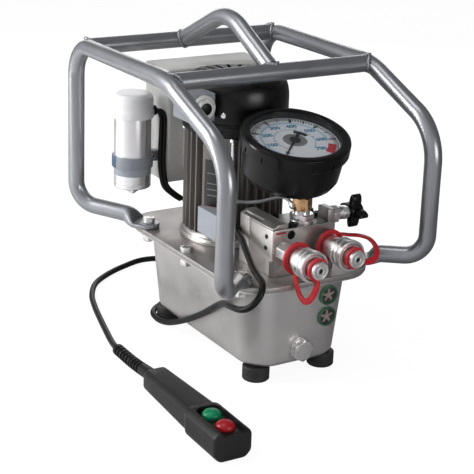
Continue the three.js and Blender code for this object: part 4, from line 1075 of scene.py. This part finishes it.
# ---- gauge
GAUGE_PLACE, GAUGE_TILT, GAUGE_TURN = (0.9, -98.6, 277), math.radians(14.3), math.radians(-8.3)
STEM_X, STEM_Y = 5, -111
GAUGE = (Matrix.Translation(GAUGE_PLACE) @ Matrix.Rotation(GAUGE_TURN, 4, "Z") @
         Matrix.Rotation(GAUGE_TILT, 4, "X"))
DIAL_LEVEL, PRINT_THICK = -8.6, 0.06
TICK_OUTER, INNER_TICK_FROM = 47.6, 23


def on_gauge(solid):
    return moved(solid, matrix=GAUGE)


case_profile = [(0, -57), (41, -57), (50, -53), (54, -46), (55.2, -34), (56, -22), (56, -2), (52, -2),
                (52, -10.2), (0, -10.2)]
build("gauge_shell", on_gauge(lathe(case_profile, 96, 1.2)), SATIN_BLACK, stands_for=["gauge_case"])
boot_profile = [(56.3, -16.5), (59.5, -16.5), (60.6, -15.8), (61, -14.5), (61, -3.5), (60.4, -1.5),
                (58.6, -0.2), (56, 0), (52.5, -0.3), (50.5, -1), (50.5, -1.7), (56.3, -1.7), (56.3, -16.5)]
boot = bare("gauge_rubber", on_gauge(lathe(boot_profile, 120, 0.5)))
notch = prism([(59.9, -1.6), (63, -1.6), (63, 1.6), (59.9, 1.6)], -20, -9)
notches = [moved(notch, spin=math.pi / 7 * k + 0.1) for k in range(14)]
finished(carve(boot, on_gauge(merged(*notches))), BOOT_RUBBER, stands_for=["gauge_boot"], bevel=0.4)
dial = lathe([(0, -10), (51.4, -10), (51.6, -9.7), (51.6, DIAL_LEVEL), (0, DIAL_LEVEL)], 96)
build("gauge_face", on_gauge(dial), DIAL_PAPER, stands_for=["gauge_dial"])
build("gauge_window", on_gauge(lathe([(0, -3.3), (51.6, -3.3), (51.6, -2), (50, -1.9), (0, -1.9)], 96)),
      GLASS, stands_for=["gauge_lens"])
step_ring = lathe([(49.6, DIAL_LEVEL), (51.9, DIAL_LEVEL), (51.9, -3.4), (51.2, -3.4), (49.6, -8),
                   (49.6, DIAL_LEVEL)], 96)
build("gauge_inner_ring", on_gauge(step_ring), SATIN_BLACK)


def printed(outline, low=DIAL_LEVEL):
    return on_gauge(prism(outline, low, low + PRINT_THICK))


ZERO_ANGLE, SWEEP_ANGLE, FULL_SCALE = -128, 277, 700


def dial_angle(value):
    """The scale runs clockwise from its zero at the lower left."""
    return ZERO_ANGLE - SWEEP_ANGLE * value / FULL_SCALE


ticks = []
for step in range(0, FULL_SCALE + 1, 10):
    reach, half = (39.4, 1.9) if step % 100 == 0 else (41.6, 1.2) if step % 50 == 0 else (43.4, 0.75)
    here = dial_angle(step)
    ticks.append(printed(sector(here - half, here + half, reach, TICK_OUTER, 1)))
ticks.append(printed(sector(dial_angle(0), dial_angle(FULL_SCALE), TICK_OUTER, 48.1, 90)))
build("dial_outer_marks", merged(*ticks), DIAL_BLACK)
inner_marks = []
for step in range(0, 101, 5):
    here = dial_angle(step * FULL_SCALE / 100)
    reach, half = (24.6, 0.6) if step % 20 else (25.6, 1.1)
    inner_marks.append(printed(sector(here - half, here + half, INNER_TICK_FROM, reach, 1)))
inner_marks.append(printed(sector(dial_angle(0), dial_angle(FULL_SCALE), 22.4, INNER_TICK_FROM, 80)))
build("dial_inner_marks", merged(*inner_marks), DIAL_BLUE)
build("dial_band", printed(sector(dial_angle(20), dial_angle(610), 36.3, 38.9, 70)), DIAL_PALE_BLUE)
build("dial_red_zone", printed(sector(-20, -49, 36.3, 45.4, 9), DIAL_LEVEL + 0.02), DIAL_RED)
build("dial_black_bar", printed(sector(72, 22, 15.2, 21.4, 12)), DIAL_BLACK)
dial_centre = disc(13.6, DIAL_LEVEL, DIAL_LEVEL + PRINT_THICK, 48)
build("dial_grey_disc", on_gauge(dial_centre), DIAL_GREY)


def dial_text(name, text, size, radius, angle_degrees, material):
    """A printed figure that reads upright on the dial."""
    curve = bpy.data.curves.new(name, "FONT")
    curve.body = text
    curve.size = size * MM
    curve.align_x = "CENTER"
    curve.align_y = "CENTER"
    curve.extrude = 0.03 * MM
    curve.offset = 0.42 * MM
    curve.resolution_u = 3
    holder = bpy.data.objects.new(name, curve)
    bpy.context.scene.collection.objects.link(holder)
    bpy.context.view_layer.update()
    mesh = bpy.data.meshes.new_from_object(holder.evaluated_get(bpy.context.evaluated_depsgraph_get()))
    bpy.data.objects.remove(holder)
    angle = math.radians(angle_degrees)
    spot = Vector((*polar(radius, angle), DIAL_LEVEL + 0.035))
    points = [GAUGE @ (v.co / MM + spot) for v in mesh.vertices]
    faces = [tuple(p.vertices) for p in mesh.polygons]
    build(name, (points, faces), material)


for hundred in range(8):
    reach = 30.6 if hundred else 32
    dial_text(f"dial_figure_{hundred}", str(100 * hundred), 8.4, reach, dial_angle(100 * hundred), DIAL_BLUE)
POINTER = [(-16, -1.9), (-9, -1.6), (5, -1.4), (38, -0.6), (43, 0), (38, 0.6), (5, 1.4), (-9, 1.6),
           (-16, 1.9)]
needle = merged(lathe([(0, -8.5), (6, -8.5), (6, -7.5), (5.4, -7.2), (0, -7.2)], 48),
                moved(prism(POINTER, -8.1, -7.5), spin=math.radians(ZERO_ANGLE)))
build("gauge_pointer", on_gauge(needle), DIAL_BLACK, "needle", ["gauge_needle"])

stem = (STEM_X, STEM_Y, 0)
lower_stem = merged(
    lathe([(0, 179), (12.8, 179), (13, 179.4), (13, 182.6), (12.6, 183), (0, 183)], 48),
    moved(hexagon(24, 182.6, 190, chamfer=0.1), spin=0.25),
    lathe([(0, 189), (8.6, 189), (9, 189.6), (9, 193.9), (0, 193.9)], 40))
build("gauge_union", moved(lower_stem, stem), ZINC, bevel=0.2)
upper_stem = merged(
    moved(hexagon(19, 193.5, 208, chamfer=0.1), spin=0.5),
    lathe([(0, 207), (6.6, 207), (7, 207.8), (7, 226.6), (0, 226.6)], 32))
build("gauge_socket", moved(upper_stem, stem), BRASS, stands_for=["gauge_stem"], bevel=0.2)

# ---- pendant
PENDANT_PLACE, PENDANT_SWING = (-162, -83, 17), math.radians(-1.4)
PENDANT = Matrix.Translation(PENDANT_PLACE) @ Matrix.Rotation(PENDANT_SWING, 4, "Z")
PENDANT_LENGTH, GRIP_TO = 178, 120
HEAD_FROM, HEAD_RUN, HEAD_HALF = 107, 9, 21.5
POCKET_FROM, POCKET_HALF, POCKET_FLOOR, POCKET_RADIUS = 117, 14, 11.7, 9
BUTTON_RADIUS = 10
DECK_TOP = 16.7
BUTTONS = {"green": (-131, GREEN_CAP), "red": (-158.5, RED_CAP)}


def chamfered(half_width, half_height, corner, low_corner):
    """The handset's section: straight flanks with bevelled edges, rounded at each bevel."""
    corners = [
        (half_width, -half_height + low_corner), (half_width, half_height - corner),
        (half_width - corner, half_height), (-half_width + corner, half_height),
        (-half_width, half_height - corner), (-half_width, -half_height + low_corner),
        (-half_width + low_corner, -half_height), (half_width - low_corner, -half_height)]
    outline = []
    for i, here in enumerate(corners):
        here, before, after = Vector(here), Vector(corners[i - 1]), Vector(corners[(i + 1) % len(corners)])
        reach = 0.36 * min((before - here).length, (after - here).length)
        start = here + (before - here).normalized() * reach
        end = here + (after - here).normalized() * reach
        outline += corner_curve(start, here, end, 4)
    return outline


def pendant_loft(stops):
    """Skins the handset's section through stations along -Y."""
    points = []
    for d in stops:
        half_width, half_height = pendant_size(d)
        corner = 0.36 * half_height
        for p in chamfered(half_width, half_height, corner, 1.15 * corner):
            points.append(Vector((p.x, -d, p.y)))
    return skin(points, len(points) // len(stops))


def rounded_end(distance, radius):
    """How far a rounded end pulls the section in, at a distance from it."""
    left = max(radius - distance, 0)
    return radius - math.sqrt(max(radius ** 2 - left ** 2, 0))


def pendant_size(distance):
    """Half width and half height along the handset, from the cable's end to the head's."""
    grip = min(distance / GRIP_TO, 1)
    half_width, half_height = 14.5 + 4.5 * grip, 12.5 + 2.95 * grip
    step = eased(distance, HEAD_FROM, HEAD_RUN)
    half_width += (HEAD_HALF - half_width) * step
    half_height += (DECK_TOP - half_height) * step
    inset = rounded_end(distance, 8) + rounded_end(PENDANT_LENGTH - distance, 5)
    return half_width - inset, half_height - inset


def in_pendant(solid):
    return moved(solid, matrix=PENDANT)


def pendant_shell():
    stops = [0, 0.15, 0.5, 1.2, 2.2, 3.6, 5.6, 8, 30, 60, 85, 99, 105] + list(range(107, 118)) + \
        [122, 140, 160, 170, 173, 174.6, 175.8, 176.8, 177.5, 177.9, 178]
    case = bare("pendant_case", in_pendant(pendant_loft(stops)))
    run = (PENDANT_LENGTH - POCKET_FROM) / 2 + 12
    outline = rounded_rect(POCKET_HALF, run, POCKET_RADIUS, 8, (0, -POCKET_FROM - run))
    pocket = prism(outline, POCKET_FLOOR, 30)
    bores = [moved(disc(10.5, 0, 14, 48), (0, y, 0)) for y, _ in BUTTONS.values()]
    return carve(case, in_pendant(pocket), *[in_pendant(b) for b in bores])


finished(pendant_shell(), PENDANT_PLASTIC, stands_for=["pendant_shell"], bevel=0.5)
run = (PENDANT_LENGTH - POCKET_FROM - 3) / 2
liner = rounded_rect(POCKET_HALF - 0.1, run, POCKET_RADIUS, 8, (0, -POCKET_FROM - 0.2 - run))
liner_piece = bare("pendant_pocket", in_pendant(prism(liner, POCKET_FLOOR - 0.3, POCKET_FLOOR + 0.35)))
liner_bores = [in_pendant(moved(disc(10.6, 9, 14, 48), (0, y, 0))) for y, _ in BUTTONS.values()]
finished(carve(liner_piece, *liner_bores), GLOSS_BLACK)
for label, (y, material) in BUTTONS.items():
    dome = [(0, -8), (BUTTON_RADIUS - 0.4, -8), (BUTTON_RADIUS, -7.6), (BUTTON_RADIUS, 1.8)]
    for k in range(1, 9):
        angle = math.pi / 2 * k / 8
        reach = BUTTON_RADIUS * math.cos(angle) ** 0.8 if k < 8 else 0
        dome.append((reach, 1.8 + 5.6 * math.sin(angle)))
    cap = moved(lathe(dome, 48), (0, y, POCKET_FLOOR))
    build(f"push_button_{label}", in_pendant(cap), material, f"{label}_button", [f"button_{label}"])

RELIEF = [(-162, -81.8, 17), (-161.7, -73, 16.6), (-160, -52, 13.6), (-157.8, -26, 10.6), (-155.7, 2, 9.1),
          (-154.5, 16, 8.2)]
RIBBED_FROM, RIBBED_TO, RIBS = 0.24, 0.955, 9


def relief_section(i, share):
    """A smooth collar, then rings that stand out from the core, with a solid lip at the cable's end."""
    radius = 7.4 - 0.5 * share
    if RIBBED_FROM < share < RIBBED_TO:
        wave = math.cos(2 * math.pi * RIBS * (share - RIBBED_FROM) / (RIBBED_TO - RIBBED_FROM))
        radius -= 1.15 * (1 - max(min(wave * 2.4 - 0.4, 1), -1))
    return radius, radius, 2, 0


relief_line = spline(RELIEF, 60)
build("pendant_relief", sweep(relief_line, relief_section, 28), CABLE_RUBBER,
      stands_for=["pendant_strain_relief"])

# ---- the pendant's cable
CABLE_RADIUS, JACKET_RADIUS = 3.75, 3.68
CABLE_ROUTE = [(-46, -38.3, 161), (-46, -50, 161), (-46.5, -62, 159.5), (-49, -76, 155.5),
               (-53, -90, 149.5), (-56.8, -104, 143.7), (-60, -117, 138.3), (-62, -128.5, 134.9),
               (-63.4, -137, 132.9), (-65.4, -144.4, 130.9), (-68.6, -150.6, 127.2), (-72.8, -153.8, 121.8),
               (-77.5, -153.8, 115.6), (-82, -151.3, 109.8), (-85.7, -145.5, 105), (-87.6, -137, 101.9),
               (-87.4, -126, 99.6), (-85, -112, 96.8), (-79.5, -93, 91.5), (-74.5, -75, 83.4),
               (-71.8, -54, 70), (-69.5, -27, 52.5), (-68, 7, 33), (-67.5, 36, 18.5), (-67, 60, 9),
               (-66, 84, 4.3), (-61.5, 104, 4.1), (-47, 119.5, 4.1), (-22, 128, 4.1), (12, 137, 4.1),
               (44, 157, 4.1), (63, 192, 4.1), (66, 232, 4.1), (49, 265, 4.1), (16, 277, 4.1),
               (-20, 266, 4.1), (-54, 248, 4.1), (-82, 225, 4.1), (-104, 190, 4.1), (-118, 152, 4.1),
               (-128, 118, 4.1), (-138.5, 80, 4.1), (-147, 49, 4.8), (-152, 29, 6.7), (-154.6, 17, 8.3)]
cable_line = spline(CABLE_ROUTE, 7)
cable = build("pendant_lead", tube(cable_line, JACKET_RADIUS, 20), CABLE_RUBBER, stands_for=["pendant_cable"])
CABLE_EXIT = (-46, -38, 161)
exit_gland = lathe(
    [(0, 0.1), (9, 0.1), (9, 2.4), (8.2, 3.2), (7.6, 3.2), (7.6, 4.6), (6.6, 5.4), (6.6, 9), (6.2, 9.6),
     (6.2, 13), (5.8, 13.6), (5.8, 17), (5.4, 17.6), (5.4, 21), (4.6, 22), (0, 22)], 40, 0.3)
build("cable_exit_relief", moved(exit_gland, CABLE_EXIT, FORWARD), CABLE_RUBBER)

# ---- thin lead under the gauge
THIN_LEAD = [(-50, -26, 172), (-49.5, -31, 182), (-45.5, -37, 189.5), (-36, -41, 188), (-25, -47, 187),
             (-14, -58, 190), (-4, -68, 195), (2.5, -77, 198), (3.6, -85, 197.4), (4.2, -91, 195)]
build("thin_lead", tube(spline([Vector(p) for p in THIN_LEAD], 6), 2.0, 12), GREY_LEAD)
lead_fitting = merged(lathe([(0, -9), (3, -9), (3.2, -8.6), (3.2, 3), (2.6, 4), (0, 4)], 24),
                      moved(hexagon(8, -4, 1), spin=0.2))
build("thin_lead_fitting", moved(lead_fitting, (4.3, -93, 194), (-0.08, 0.93, 0.36)), ZINC)
lead_grommet = lathe([(0, -1), (3, -1), (3, 1.2), (2.2, 2.4), (0, 2.4)], 24)
build("thin_lead_grommet", moved(lead_grommet, (-50, -26, 173)), CABLE_RUBBER)

# ---- floor, world and lights
FLOOR_SIZE, FLOOR_GLOW, FLOOR_SHADE = 6.0, 1.14, 0.2
BOUNCE_FROM, BOUNCE_TO = 0.25, -0.35
BOUNCE_DARK, BOUNCE_BRIGHT = (0.22, 0.22, 0.225), (0.95, 0.95, 0.96)
# the room in reflections: each axis of the view direction, from and to, and the brightness at either end
ROOM_RAMPS = (("Z", (-0.1, 0.9, 0.11, 0.19)), ("X", (0.1, -0.9, 0.0, 0.72)))


def camera_ray(tree):
    return add(tree, "ShaderNodeLightPath").outputs["Is Camera Ray"]


def mixed_shader(tree, factor, first, second):
    node = tree.nodes.new("ShaderNodeMixShader")
    for socket, value in zip(node.inputs, (factor, first, second)):
        feed(tree, socket, value)
    return node.outputs[0]


def floor():
    half = FLOOR_SIZE / 2
    mesh = bpy.data.meshes.new("floor")
    mesh.from_pydata([(-half, -half, 0), (half, -half, 0), (half, half, 0), (-half, half, 0)], [],
                     [(0, 1, 2, 3)])
    ground = bpy.data.objects.new("floor", mesh)
    bpy.context.scene.collection.objects.link(ground)
    material, tree, principled = shader("studio_floor", (0.92, 0.92, 0.92), 0.6, specular=0.2)
    shade = noise_field(tree, 3)
    tree.links.new(blended(tree, shade, (0.91, 0.91, 0.91), (0.93, 0.93, 0.93)),
                   principled.inputs["Base Color"])
    # the camera sees the floor glow, and everything else gets its bounce light, low towards the right
    across = add(tree, "ShaderNodeMapRange", Value=coordinate(tree, "Object", "X"),
                 From_Min=BOUNCE_FROM, From_Max=BOUNCE_TO)
    bounce = blended(tree, across.outputs["Result"], BOUNCE_DARK, BOUNCE_BRIGHT)
    grey = add(tree, "ShaderNodeBsdfDiffuse", Color=bounce)
    glow = add(tree, "ShaderNodeEmission", Strength=FLOOR_GLOW)
    seen = mixed_shader(tree, FLOOR_SHADE, glow.outputs[0], principled.outputs[0])
    either = mixed_shader(tree, camera_ray(tree), grey.outputs[0], seen)
    tree.links.new(either, tree.nodes["Material Output"].inputs["Surface"])
    mesh.materials.append(material)


def studio_world():
    """White behind the object. In its reflections, a dim room that is brighter towards the left."""
    world = bpy.data.worlds.new("studio")
    bpy.context.scene.world = world
    world.use_nodes = True
    tree = world.node_tree
    background = tree.nodes["Background"]
    levels = []
    for axis, (start, end, low, high) in ROOM_RAMPS:
        ramp = add(tree, "ShaderNodeMapRange", Value=coordinate(tree, "Generated", axis),
                   From_Min=start, From_Max=end, To_Min=low, To_Max=high)
        levels.append(ramp.outputs["Result"])
    room = blended(tree, combined(tree, "ADD", *levels), (0, 0, 0), (1, 1, 1.03))
    sky = blended(tree, camera_ray(tree), room, (1, 1, 1))
    tree.links.new(sky, background.inputs["Color"])
    background.inputs["Strength"].default_value = 1.0


def area_light(name, place, size, power):
    """A rectangular light that is aimed at the middle of the unit."""
    light = bpy.data.lights.new(name, "AREA")
    light.shape = "RECTANGLE"
    light.size, light.size_y = size
    light.energy = power
    holder = bpy.data.objects.new(name, light)
    spot, aim = at(*place), at(*MIDDLE)
    turn = (aim - spot).to_track_quat("-Z", "Y").to_matrix().to_4x4()
    holder.matrix_world = Matrix.Translation(spot) @ turn
    bpy.context.scene.collection.objects.link(holder)


floor()
studio_world()
bpy.context.scene.view_settings.view_transform = "Standard"
MIDDLE = (0, 0, 150)
area_light("key", (-1300, 650, 700), (0.45, 1.3), 20)
area_light("front_fill", (300, -1700, 500), (0.8, 0.6), 9)
area_light("top", (-300, 200, 1900), (0.6, 0.6), 4)
area_light("back_rim", (900, 1450, 640), (1.5, 0.6), 5)
